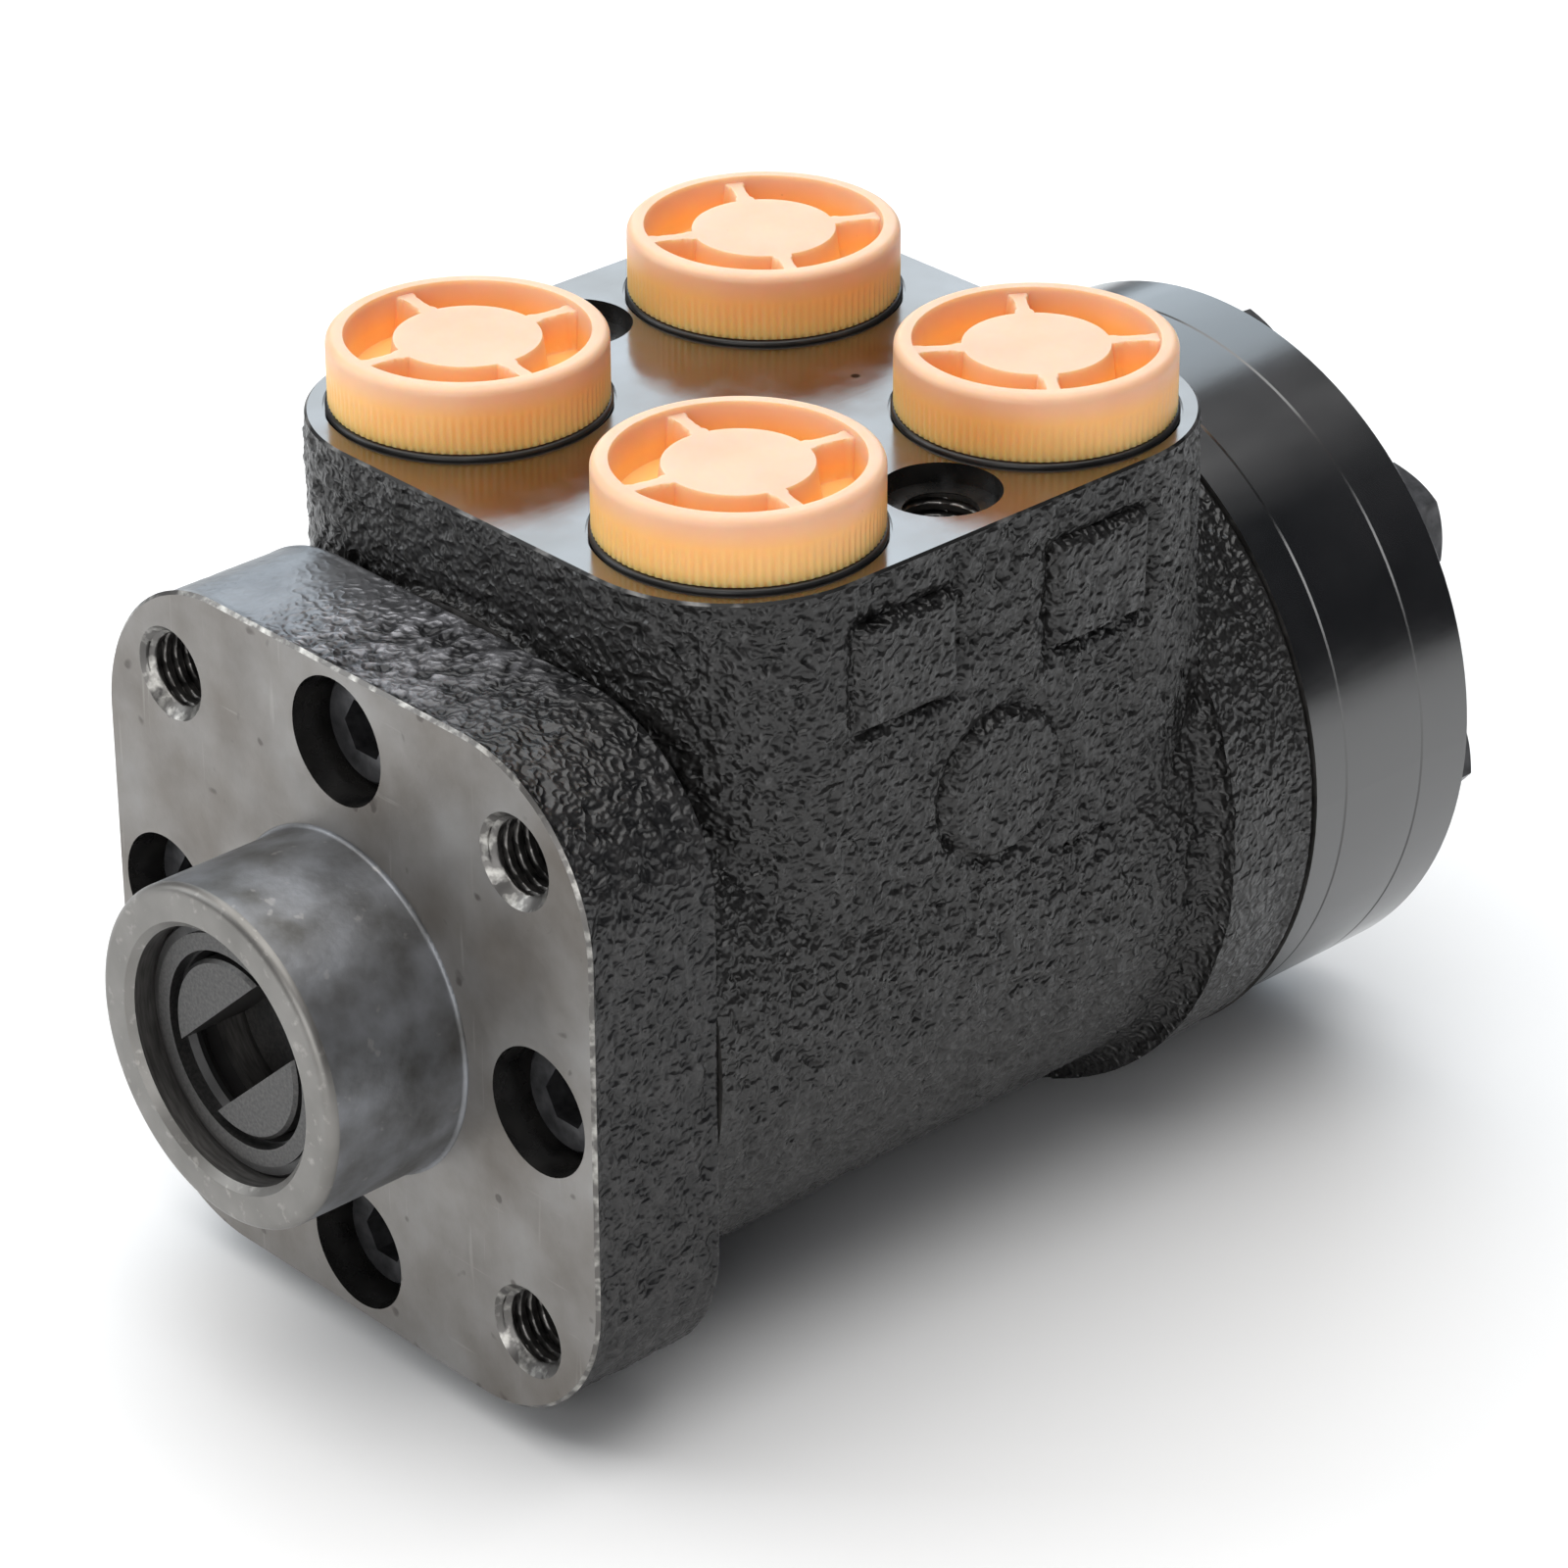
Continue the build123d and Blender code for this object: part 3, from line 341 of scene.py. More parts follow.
def barrel_line():
    """The casting's outline behind the column flange, from front to back: barrel, hollow root, tapered
    rear flange and its rounded edge.  Gives places along the axis and radii."""
    slope = math.tan(math.radians(rear_flange_draft))
    plain = np.arange(housing_front, rear_flange_start - rear_flange_root, skin_step)
    turn = np.linspace(0, math.pi / 2, 7)
    root_y = rear_flange_start - rear_flange_root + rear_flange_root * np.sin(turn)
    root_r = barrel_r + rear_flange_root * (1 - np.cos(turn))
    taper_y = np.arange(rear_flange_start + 0.05, housing_back - rear_flange_edge, skin_step)
    taper_r = rear_flange_r - slope * (taper_y - rear_flange_start)
    edge_y = housing_back - rear_flange_edge + rear_flange_edge * np.sin(turn)
    edge_r = taper_r[-1] - rear_flange_edge * (1 - np.cos(turn))
    return (np.concatenate([plain, root_y, [rear_flange_start], taper_y, edge_y]),
            np.concatenate([np.full(len(plain), barrel_r), root_r, [taper_r[0] - 0.1], taper_r, edge_r]))


def block_depth(x, y):
    """How far a place in plan lies inside the port block's rounded outline."""
    beside = np.abs(x) - (block_half_width - block_corner_r)
    beyond = np.abs(y - block_middle) - (block_half_length - block_corner_r)
    return (block_corner_r - np.hypot(np.maximum(beside, 0), np.maximum(beyond, 0))
            - np.minimum(np.maximum(beside, beyond), 0))


def rounded_outline(half_width, half_length, corner):
    """Places and outward directions evenly round a rounded rectangle: a point slides between the four
    corner centres while a spoke of the corner radius, fixed on it, turns a quarter at each."""
    a, b, quarter = half_width - corner, half_length - corner, corner * math.pi / 2
    stops = np.cumsum([0, 2 * b, quarter, 2 * a, quarter, 2 * b, quarter, 2 * a, quarter])
    along = np.linspace(0, stops[-1], outline_columns, endpoint=False)
    turn = np.radians(np.interp(along, stops, [0, 0, 90, 90, 180, 180, 270, 270, 360]))
    outward = np.stack([np.cos(turn), np.sin(turn)], -1)
    centre = np.stack([np.interp(along, stops, [a, a, a, -a, -a, -a, -a, a, a]),
                       np.interp(along, stops, [-b, b, b, b, b, -b, -b, -b, -b])], -1)
    return centre + corner * outward, outward


def barrel_skin():
    """The outline carried round the axis, roughened less and set in on the rear flange, and smooth at
    both ends.  Faces that lie inside the block are left out."""
    y, r = (line[:, None] for line in barrel_line())
    turn = np.linspace(2 * math.pi, 0, barrel_columns, endpoint=False)
    points = np.stack(np.broadcast_arrays(r * np.cos(turn), y, r * np.sin(turn)), -1)
    depth = barrel_skin_depth * ease((y - housing_front) / 1.2) * ease((housing_back - 0.4 - y) / 1.5)
    on_flange = y > rear_flange_start
    points, height = roughened(points, depth * np.where(on_flange, 0.6, 1.0), depth * on_flange)
    faces = grid_faces(len(y), len(turn))
    flat = points.reshape(-1, 3)
    hidden = (block_depth(flat[:, 0], flat[:, 1]) > 1.6) & (flat[:, 2] > 10)
    return flat, faces[~hidden[faces].all(1)], height


def root_radius(facing):
    """Radius of the hollow between block and barrel: tight at the front wall, wide at the other three."""
    return front_root_r + (side_root_r - front_root_r) * ease((facing + 0.95) / 0.5)


pad_rise, pad_soft, pad_moat, pad_moat_width = 0.8, 0.6, 0.85, 0.65
pad_half_length, pad_half_height, pad_spacing, pad_level = 7.0, 6.0, 14.5, 40.6
boss_r, boss_level = 8.5, 20.6


def pad_shape(y, z):
    """Rise of the bare cast pads on a side wall: two low squares and a round boss with soft edges, and
    round each a shallow moat, a bell curve of the way from its edge."""
    inside = np.minimum(pad_half_length - np.abs(np.abs(y - block_middle) - pad_spacing),
                        pad_half_height - np.abs(z - pad_level))
    boss = boss_r - np.hypot(y - block_middle, z - boss_level)
    inside = np.maximum(inside, boss)
    moat = pad_moat * np.exp(-((inside + pad_moat_width) / pad_moat_width) ** 2)
    return pad_rise * ease(inside / pad_soft + 0.5) - moat


def block_skin():
    """The block's wall under the port face: straight down each normal of its outline, then a hollow
    rolled between wall and barrel, its centre one radius off both, and a last step into the barrel."""
    place, outward = rounded_outline(block_half_width, block_half_length, block_corner_r)
    place[:, 1] += block_middle
    root = root_radius(outward[:, 1])
    middle = place + root[:, None] * outward
    line_y, line_r = barrel_line()
    reach = np.interp(middle[:, 1], line_y, line_r) + root
    middle_z = np.sqrt(np.maximum(reach ** 2 - middle[:, 0] ** 2, 1.0))
    top = port_face - port_face_edge
    share = np.linspace(0, 1, wall_rows)[:, None]
    wall = np.stack(np.broadcast_arrays(place[:, 0], place[:, 1], top + (middle_z - top) * share), -1)
    start = np.stack([-outward[:, 0], -outward[:, 1], np.zeros(len(outward))], -1)
    end = np.stack([-middle[:, 0] / reach, np.zeros(len(reach)), -middle_z / reach], -1)
    angle = np.arccos(np.clip(np.sum(start * end, -1), -1, 1))
    part = np.linspace(0, 1, root_rows)[1:, None]
    turned = (np.sin((1 - part) * angle)[..., None] * start + np.sin(part * angle)[..., None] * end)
    turned /= np.sin(angle)[:, None]
    centre = np.stack([middle[:, 0], middle[:, 1], middle_z], -1)
    hollow = centre + root[:, None] * turned
    points = np.concatenate([wall, hollow, hollow[-1:] + 0.5 * end], 0)
    raised = pad_shape(points[..., 1], points[..., 2]) * np.clip(np.abs(outward[:, 0]) * 8 - 7, 0, 1)
    points[..., :2] += raised[..., None] * outward
    depth = block_skin_depth * ease(top - points[..., 2]) * np.where(raised > 0.3, 0.5, 1.0)
    points, height = roughened(points[::-1], depth[::-1])
    return points.reshape(-1, 3), grid_faces(len(points), len(place)), height


# The machined faces are the solid's own, without its cast walls and its smooth tapped walls.
fitting_hole_x, fitting_tap_r, fitting_counterbore_r = 30.2, 4.25, 6.8
fitting_counterbore, fitting_tap_end = 2.4, 20.0
points, faces = solid_surface("housing")
x, y, z = points[faces].mean(1).T
cast = ((y > housing_front + hair) & (y < housing_back - hair) & (z < port_face - port_face_edge - 0.05)
        & (np.hypot(x, z) > barrel_r - 0.6) & ((z < 10) | (block_depth(x, y) < 0.4)))
from_hole = np.hypot(np.abs(x) - fitting_hole_x, y - block_middle)
tapped = ((from_hole < fitting_tap_r + 0.1)
          & (z < port_face - fitting_counterbore - 0.02) & (z > port_face - fitting_tap_end + 0.02))
machined = ~cast & ~tapped

# Ground face under a film of oil, with one small pit.
ground_face, tree, shader = new_finish("ground_port_face", 1.0)
from_pit = tree.nodes.new("ShaderNodeVectorMath")
from_pit.operation = "DISTANCE"
from_pit.inputs[1].default_value = (2.5 * mm, 73.8 * mm, port_face * mm)
tree.links.new(object_places(tree), from_pit.inputs[0])
pit = spread(tree, from_pit.outputs["Value"], (0.65 * mm, 0.40 * mm), (0.0, 1.0))
oiled = blend_tones(tree, grain_of(tree, 16.0, seed=1.0), (0.215, 0.20, 0.185), (0.30, 0.29, 0.285))
tone_by(tree, shader, pit, oiled, (0.004, 0.004, 0.004))
gloss_by(tree, shader, grain_of(tree, 5.0, 4.0, seed=3.0), 0.10, 0.26)
raise_bumps(tree, shader, grain_of(tree, 0.5, 2.0, (1, 0.08, 1), seed=5.0), 0.004, 0.5)

bored_iron, tree, shader = new_finish("bored_iron", 0.9, 0.38)
rings = grain_of(tree, 0.35, 2.0, (0.12, 1, 0.12), seed=6.0)
tone_by(tree, shader, rings, (0.13, 0.125, 0.12), (0.26, 0.25, 0.24))
raise_bumps(tree, shader, rings, 0.01, 0.5)

oily_black, tree, shader = new_finish("oily_black")
tone_by(tree, shader, grain_of(tree, 4.0, 2.0, seed=8.0), (0.006, 0.006, 0.006), (0.02, 0.019, 0.018))
gloss_by(tree, shader, grain_of(tree, 2.5, seed=7.0), 0.16, 0.42)
raise_bumps(tree, shader, grain_of(tree, 0.8, 2.0, seed=9.0), 0.02, 0.5)

rubbed_edge, tree, shader = new_finish("rubbed_edge", 0.5, 0.4)
worn = grain_of(tree, 3.0, contrast=(0.5, 0.7), seed=10.0)
tone_by(tree, shader, worn, (0.012, 0.012, 0.012), (0.22, 0.215, 0.21))
raise_bumps(tree, shader, grain_of(tree, 0.8, 2.0, seed=10.5), 0.03, 0.5)

ground, bored, oily, rubbed_and_highlit = range(4)
kind = np.where(z > port_face - 0.5, ground, np.where(from_hole < fitting_counterbore_r + 0.2, oily, bored))
kind[(z < port_face - hair) & (z > port_face - port_face_edge - 0.05) & (block_depth(x, y) < 0.5)] = rubbed_and_highlit
housing = make_piece("housing_machined", *kept_faces(points, faces, machined),
                     [ground_face, bored_iron, oily_black, rubbed_edge],
                     "unit", "painted_casting", 30.0, kind[machined])
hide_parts("housing")
for name, skin in (("housing_barrel_skin", barrel_skin), ("housing_block_skin", block_skin)):
    points, faces, height = skin()
    make_piece(name, points, faces, [painted_casting], "unit", "painted_casting", 60.0, grain=height)

# ---- Tapped holes ---------------------------------------------------------------------------------
# M10 threads cut in the iron: four in the column flange, opening into a countersink, and two beside
# the ports, opening from a counterbore.
thread_major_r, thread_minor_r, thread_pitch = 4.95, fitting_tap_r, 1.5
thread_rows, thread_mouth = 10, 0.55


def thread_wall(countersink, depth):
    """A tapped wall on a grid of turn and depth: the radius is the tapping radius plus a groove whose
    triangular wave climbs one pitch in each turn, or the countersink's cone where that is wider."""
    turn = np.linspace(0, 2 * math.pi, 64, endpoint=False)
    down = np.linspace(0, depth, int(depth / thread_pitch * thread_rows) + 1)[:, None]
    wave = (down / thread_pitch + turn / (2 * math.pi)) % 1.0
    groove = np.clip(4.8 * np.abs(wave - 0.5) - 1.2, 0, 1)
    run_in = ease((depth - down) / thread_pitch)
    radius = thread_minor_r + (thread_major_r - thread_minor_r) * groove * run_in
    if countersink:
        radius = np.maximum(radius, thread_minor_r + countersink - down)
    else:
        radius = np.where(down < 0.01, thread_minor_r + thread_mouth, radius)
    return radius * np.cos(turn), radius * np.sin(turn), np.broadcast_to(down, radius.shape)


tapped_iron, tree, shader = new_finish("tapped_iron", 0.85, 0.28)
tone_by(tree, shader, grain_of(tree, 2.2, seed=11.0), (0.035, 0.034, 0.033), (0.22, 0.21, 0.20))
raise_bumps(tree, shader, grain_of(tree, 0.4, 2.0, seed=12.0), 0.015, 0.4)

across, around, down = thread_wall(0.0, fitting_tap_end - fitting_counterbore)
for name, hole_x in (("fitting_thread_left", -fitting_hole_x), ("fitting_thread_right", fitting_hole_x)):
    wall = np.stack([hole_x + across, block_middle + around, port_face - fitting_counterbore - down], -1)
    make_piece(name, wall, grid_faces(*wall.shape[:2]), [tapped_iron], "unit", "painted_casting", 50.0)

# ---- Column flange --------------------------------------------------------------------------------
# A square iron casting with a turned steel collar let into its face, both bored through together.  Their
# bare faces are scratched and dented from handling; the cast edge is painted, with a painted highlight
# along the top and a painted reflection of the sky at the top left.
flange_half, flange_corner_r, flange_thickness = 41.0, 20.0, 18.0
flange_face_edge, flange_rear_edge = 0.4, 1.0
column_hole_offset, column_tap_end, column_countersink = 29.17, 15.0, 1.3
flange_screw_offset, counterbore_r = 32.0, 7.5
collar_bore_r, collar_front, collar_rim_edge = 15.0, -18.5, 1.25
flange_skin_depth, flange_skin_inset = 0.36, 0.32

# The machined faces are the solid's own, without the cast edge and the smooth tapped walls.
points, faces = solid_surface("mounting_flange")
x, y, z = points[faces].mean(1).T
corner_x = np.maximum(np.abs(x) - (flange_half - flange_corner_r), 0)
corner_z = np.maximum(np.abs(z) - (flange_half - flange_corner_r), 0)
depth_inside = flange_corner_r - np.hypot(corner_x, corner_z)
cast = ((y > flange_face_edge + hair) & (y < flange_thickness - hair)
        & (depth_inside < flange_rear_edge + 0.02))
column_hole = np.hypot(np.abs(x) - column_hole_offset, np.abs(z) - column_hole_offset)
tapped = (column_hole < thread_minor_r + column_countersink) & (y > hair) & (y < column_tap_end - hair)
screw_hole = np.minimum(np.hypot(np.abs(x) - flange_screw_offset, z),
                        np.hypot(x, np.abs(z) - flange_screw_offset))

# Bare iron with cloudy stains, fine scratches both ways and small dents.
bare_face, tree, shader = new_finish("bare_flange_face", 0.7)
clouds = grain_of(tree, 13.0, 6.0, seed=21.0)
stains = blend_tones(tree, clouds, (0.150, 0.133, 0.115), (0.290, 0.283, 0.275))
scratches = worked(tree, "MAXIMUM", grain_of(tree, 0.9, 2.0, (1, 1, 0.05), (0.66, 0.74), 22.0),
                   grain_of(tree, 0.8, 2.0, (0.06, 1, 1), (0.67, 0.75), 23.0))
dents = grain_of(tree, 2.6, 1.0, contrast=(0.70, 0.76), seed=24.0)
tone = blend_tones(tree, worked(tree, "MULTIPLY", scratches, 0.35), stains, (0.36, 0.35, 0.33))
tone_by(tree, shader, worked(tree, "MULTIPLY", dents, 0.6), tone, (0.06, 0.05, 0.045))
gloss_by(tree, shader, grain_of(tree, 6.0, 4.0, seed=25.0), 0.34, 0.52)
relief = worked(tree, "SUBTRACT", worked(tree, "MULTIPLY", grain_of(tree, 0.6, seed=26.0), 0.35),
                worked(tree, "MAXIMUM", worked(tree, "MULTIPLY", scratches, 0.5), dents))
raise_bumps(tree, shader, relief, 0.05, 0.6)

bright_edge, tree, shader = new_finish("bright_edge", 0.9, 0.35)
nicks = grain_of(tree, 1.6, contrast=(0.48, 0.72), seed=31.0)
tone_by(tree, shader, nicks, (0.13, 0.125, 0.12), (0.50, 0.49, 0.46))
raise_bumps(tree, shader, nicks, 0.06, 0.6)

collar_skin, tree, shader = new_finish("collar_skin", 0.75, 0.45)
pores = grain_of(tree, 1.1, contrast=(0.35, 0.65), seed=41.0)
tone = blend_tones(tree, grain_of(tree, 6.0, 6.0, seed=42.0), (0.092, 0.090, 0.086), (0.265, 0.275, 0.295))
spots = grain_of(tree, 1.8, 2.0, contrast=(0.66, 0.72), seed=43.0)
tone_by(tree, shader, worked(tree, "MULTIPLY", spots, 0.4), tone, (0.36, 0.35, 0.34))
raise_bumps(tree, shader, pores, 0.03, 0.5)

collar_rim, tree, shader = new_finish("collar_rim", 0.8, 0.4)
nicks = grain_of(tree, 1.3, contrast=(0.60, 0.75), seed=51.0)
tone = blend_tones(tree, grain_of(tree, 7.0, seed=52.0), (0.16, 0.155, 0.145), (0.24, 0.232, 0.22))
tone_by(tree, shader, worked(tree, "MULTIPLY", nicks, 0.4), tone, (0.50, 0.48, 0.45))
raise_bumps(tree, shader, nicks, 0.05, 0.6)

bare, bright, oily, bored = range(4)
kind = np.full(len(faces), bare)
kind[(y > hair / 2) & (y < flange_face_edge) & (depth_inside < 1.0)] = bright
kind[(y > hair / 2) & (np.minimum(screw_hole - counterbore_r, column_hole - 6.0) < 0.3)] = oily
kind[(y > flange_thickness - hair) | (np.hypot(x, z) < collar_bore_r + 0.2)] = bored
machined = ~cast & ~tapped
flange = make_piece("column_flange", *kept_faces(points, faces, machined),
                    [bare_face, bright_edge, oily_black, bored_iron],
                    "unit", "column_casting", 30.0, kind[machined])
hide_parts("mounting_flange")

points, faces = solid_surface("column_collar")
x, y, z = points[faces].mean(1).T
turned, rim, bored = range(3)
kind = np.where(y < collar_front + collar_rim_edge, rim, turned)
kind[np.hypot(x, z) < collar_bore_r + 0.2] = bored
collar = make_piece("turned_collar", points, faces, [collar_skin, collar_rim, bored_iron], "unit",
                    "column_casting", 30.0, kind)
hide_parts("column_collar")

# The cast edge's paint: ridges paler than the hollows as a painted highlight, pale bluish grey along the
# top as a stronger painted highlight, and a smooth silver grey patch towards the top left corner as a
# painted reflection of the sky.
flange_edge_paint, tree, shader = new_finish("flange_edge_paint", roughness=0.36)
ridge = skin_height(tree, (-0.2, 0.6), (0.0, 1.0))
where = axes_of(tree)
top_side = spread(tree, where["Z"], (26 * mm, 39 * mm), (0.0, 1.0))
top_highlight, sky_reflection_patch = (
    worked(tree, "MULTIPLY", top_side, spread(tree, where["X"], (from_x * mm, to_x * mm), (0.0, 1.0)))
    for from_x, to_x in ((24, -12), (-2, -18)))
painted = blend_tones(tree, ridge, (0.006, 0.006, 0.0065), (0.026, 0.025, 0.025))
# Painted highlight: along the top the ridges are coloured pale bluish grey.
rubbed_and_highlit = blend_tones(tree, ridge, (0.03, 0.03, 0.033), (0.42, 0.42, 0.45))
tone = blend_tones(tree, top_highlight, painted, rubbed_and_highlit)
# Painted reflection of the sky: the smooth patch at the top left is coloured silver grey.
silver = blend_tones(tree, grain_of(tree, 5.0, seed=61.0), (0.15, 0.153, 0.162), (0.21, 0.213, 0.222))
tone_by(tree, shader, sky_reflection_patch, tone, silver)
tree.links.new(worked(tree, "MULTIPLY", top_highlight, 0.7), shader.inputs["Metallic"])
sandy = worked(tree, "SUBTRACT", 1.0, worked(tree, "MULTIPLY", sky_reflection_patch, 0.85))
raise_bumps(tree, shader, worked(tree, "MULTIPLY", worm_ridges(tree, sand_width, 62.0), sandy), 0.30)

# The cast edge itself: the square's outline in rows from the face to the rounded rear edge, roughened
# all round but smooth at the top left, under the painted sky reflection.
place, outward = rounded_outline(flange_half, flange_half, flange_corner_r)
turn = np.linspace(0, math.pi / 2, 6)
rear_edge_start = flange_thickness - flange_rear_edge
rows_y = np.concatenate([np.arange(flange_face_edge, rear_edge_start, skin_step),
                         rear_edge_start + flange_rear_edge * np.sin(turn)])
inset = np.concatenate([np.zeros(len(rows_y) - len(turn)), flange_rear_edge * (1 - np.cos(turn))])
edge = place[None] - inset[:, None, None] * outward[None]
points = np.stack([-edge[..., 0], np.broadcast_to(rows_y[:, None], edge.shape[:2]), edge[..., 1]], -1)
fade = (ease(rows_y - flange_face_edge) * ease(flange_thickness - 0.1 - rows_y))[:, None]
sandy = 1 - 0.85 * ease((-points[..., 0] - 2) / 16) * ease((points[..., 2] - 26) / 10)
points, height = roughened(points, flange_skin_depth * fade * sandy, flange_skin_inset * fade)
make_piece("flange_cast_edge", points, grid_faces(len(rows_y), len(place)), [flange_edge_paint], "unit",
           "column_casting", 60.0, grain=height * sandy)

across, around, down = thread_wall(column_countersink, column_tap_end)
mouth = np.arange(len(down) - 1) * column_tap_end / (len(down) - 1) < column_countersink
for name, side, level in (("column_thread_top_left", -1, 1), ("column_thread_top_right", 1, 1),
                          ("column_thread_low_left", -1, -1), ("column_thread_low_right", 1, -1)):
    wall = np.stack([side * column_hole_offset + across, down, level * column_hole_offset + around], -1)
    make_piece(name, wall, grid_faces(*wall.shape[:2]), [tapped_iron, bright_edge], "unit",
               "column_casting", 50.0, np.repeat(mouth, wall.shape[1]))

# ---- Transport plugs ------------------------------------------------------------------------------
# Four screw-in caps of translucent cream polyethylene, moulded in one piece: a finely ribbed rim, a
# hub on four spokes over deep pockets, and a hollow stem that seals the port.
plug_r, plug_top, plug_under = 15.8, 61.1, 53.15
plug_rim_wall, plug_rim_round = 2.3, 1.0
plug_hub_r, plug_hub_drop, plug_pocket_depth, plug_spoke_width = 8.6, 0.7, 5.0, 2.1
plug_stem_r, plug_stem_wall, plug_stem_end = 9.25, 1.6, 42.5
plug_rib_count, plug_rib_depth = 104, 0.13
plug_soft, plug_flare, plug_dish, plug_middle_hole = 0.7, 0.35, 0.12, 0.02
port_reach = 22.25


def cap_height(radius, turn):
    """Height of the cap's top: the pocket floor, raised by soft steps to the hub and the four spokes,
    which spread where they meet hub and rim, and higher still to the rim."""
    from_spoke = np.minimum(np.abs(radius * np.sin(turn)), np.abs(radius * np.cos(turn)))
    rim_r = plug_r - plug_rim_wall
    from_spoke = from_spoke - plug_flare * ease(np.abs(radius - (plug_hub_r + rim_r) / 2) - 1.3)
    hub = ease((plug_hub_r - radius) / plug_soft + 0.5)
    spoke = ease((plug_spoke_width / 2 - from_spoke) / plug_soft + 0.5)
    rim = ease((radius - rim_r) / plug_soft + 0.5)
    floor = plug_top - plug_pocket_depth
    web = floor + (plug_pocket_depth - plug_hub_drop) * np.maximum(hub, spoke)
    dished = web - plug_dish * ease(1 - radius / plug_hub_r)
    return np.maximum(dished, floor + plug_pocket_depth * rim)


def plug_surface(centre_x, centre_y, spokes_turn):
    """A whole plug as one grid of turn and way, closed by two fans: out over the cap, with rows close
    together at the hub's and the rim's steps, round the rim, down the ribbed side, in under the cap, down
    the stem outside, up inside and in to the middle."""
    turn = np.linspace(0, 2 * math.pi, plug_rib_count * 5, endpoint=False)
    over = np.concatenate([np.linspace(*rows) for rows in (
        (plug_middle_hole, 8.0, 10), (8.1, 9.1, 13), (9.3, 12.9, 14), (13.0, 14.0, 13), (14.2, 14.7, 3))])
    over = over[:, None]
    bend = np.linspace(0, math.pi / 2, 8)[:, None]
    rim_r = plug_r - plug_rim_round * (1 - np.sin(bend))
    rim_z = plug_top - plug_rim_round * (1 - np.cos(bend))
    side_z = np.linspace(plug_top - plug_rim_round - 0.4, plug_under + 0.15, 14)[:, None]
    low = ease((plug_top - plug_rim_round - 2.0 - side_z) / 2.0)
    ribs = plug_rib_depth * (0.5 - 0.5 * np.cos(plug_rib_count * turn))
    inner_r = plug_stem_r - plug_stem_wall
    rest = np.array([(plug_r - 0.35, plug_under), (plug_stem_r + 0.5, plug_under),
                     (plug_stem_r, plug_under - 0.4), (plug_stem_r, plug_stem_end + 0.4),
                     (plug_stem_r - 0.4, plug_stem_end), (inner_r + 0.4, plug_stem_end),
                     (inner_r, plug_stem_end + 0.4), (inner_r, plug_under - 0.3),
                     (inner_r - 0.5, plug_under), (plug_middle_hole, plug_under)])
    radii = (over, rim_r, plug_r - ribs * low, rest[:, :1])
    levels = (cap_height(over, turn), rim_z, side_z, rest[:, 1:])
    radius, level = (np.concatenate([part * np.ones(len(turn)) for part in way]) for way in (radii, levels))
    heading = turn + math.radians(spokes_turn)
    grid = np.stack([centre_x + radius * np.cos(heading), centre_y + radius * np.sin(heading), level], -1)
    faces = grid_faces(*radius.shape)[:, ::-1]
    first = np.arange(len(turn))
    last = first + radius.size - len(turn)
    poles = np.array([(centre_x, centre_y, level[0, 0]), (centre_x, centre_y, plug_under)])
    fans = np.concatenate([np.stack([np.full(len(turn), radius.size), first, np.roll(first, -1)], -1),
                           np.stack([np.full(len(turn), radius.size + 1), np.roll(last, -1), last], -1)])
    return np.concatenate([grid.reshape(-1, 3), poles]), faces.tolist() + fans.tolist()


# Cloudy cream, painted paler on the top faces as a painted highlight, warmer and deeper orange lower down
# in the pockets and down the side, with a few brown specks.
cream_plastic, tree, shader = new_finish("cream_plastic")
# Painted highlight: tone runs from the paler cream at the top faces to the richer orange lower down.
deep = spread(tree, axes_of(tree)["Z"], ((plug_top - 0.7) * mm, (plug_top - 3.5) * mm), (0.0, 1.0))
clouds = grain_of(tree, 9.0, seed=71.0)
top_highlight_cream = blend_tones(tree, clouds, (0.70, 0.44, 0.29), (0.76, 0.50, 0.34))
rich = blend_tones(tree, clouds, (0.92, 0.49, 0.15), (0.96, 0.55, 0.19))
specks = grain_of(tree, 1.1, 1.0, contrast=(0.80, 0.84), seed=72.0)
tone = blend_tones(tree, deep, top_highlight_cream, rich)
tone_by(tree, shader, worked(tree, "MULTIPLY", specks, 0.4), tone, (0.35, 0.16, 0.06))
shader.inputs["Subsurface Weight"].default_value = 0.75
shader.inputs["Subsurface Radius"].default_value = (1.0, 0.55, 0.25)
shader.inputs["Subsurface Scale"].default_value = 4.0 * mm
gloss_by(tree, shader, grain_of(tree, 3.0, seed=73.0), 0.36, 0.50)
raise_bumps(tree, shader, grain_of(tree, 1.6, 2.0, seed=74.0), 0.03, 0.4)

for body, side, end, spokes_turn in (("plug_front_left", -1, -1, -9.0), ("plug_front_right", 1, -1, -13.0),
                                     ("plug_rear_left", -1, 1, -28.0), ("plug_rear_right", 1, 1, -36.0)):
    node = "port_" + body
    points, faces = plug_surface(side * port_reach, block_middle + end * port_reach, spokes_turn)
    plug = make_piece(node + "_moulding", points, faces, [cream_plastic], body, "cream_plastic", 60.0)
    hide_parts(node)

# ---- Plate, gear ring and end cover ---------------------------------------------------------------
# Three turned steel discs behind the housing, clamped together and sprayed glossy black as one; their
# broken edges show as two thin seams.
gloss_paint, tree, shader = new_finish("gloss_black_paint", ior=2.1)
tone_by(tree, shader, grain_of(tree, 12.0, seed=81.0), (0.004, 0.0045, 0.005), (0.013, 0.013, 0.014))
gloss_by(tree, shader, grain_of(tree, 7.0, 4.0, (1, 0.25, 1), seed=82.0), 0.10, 0.24)
raise_bumps(tree, shader, grain_of(tree, 3.5, 2.0, (1, 0.5, 1), seed=83.0), 0.02, 0.35)

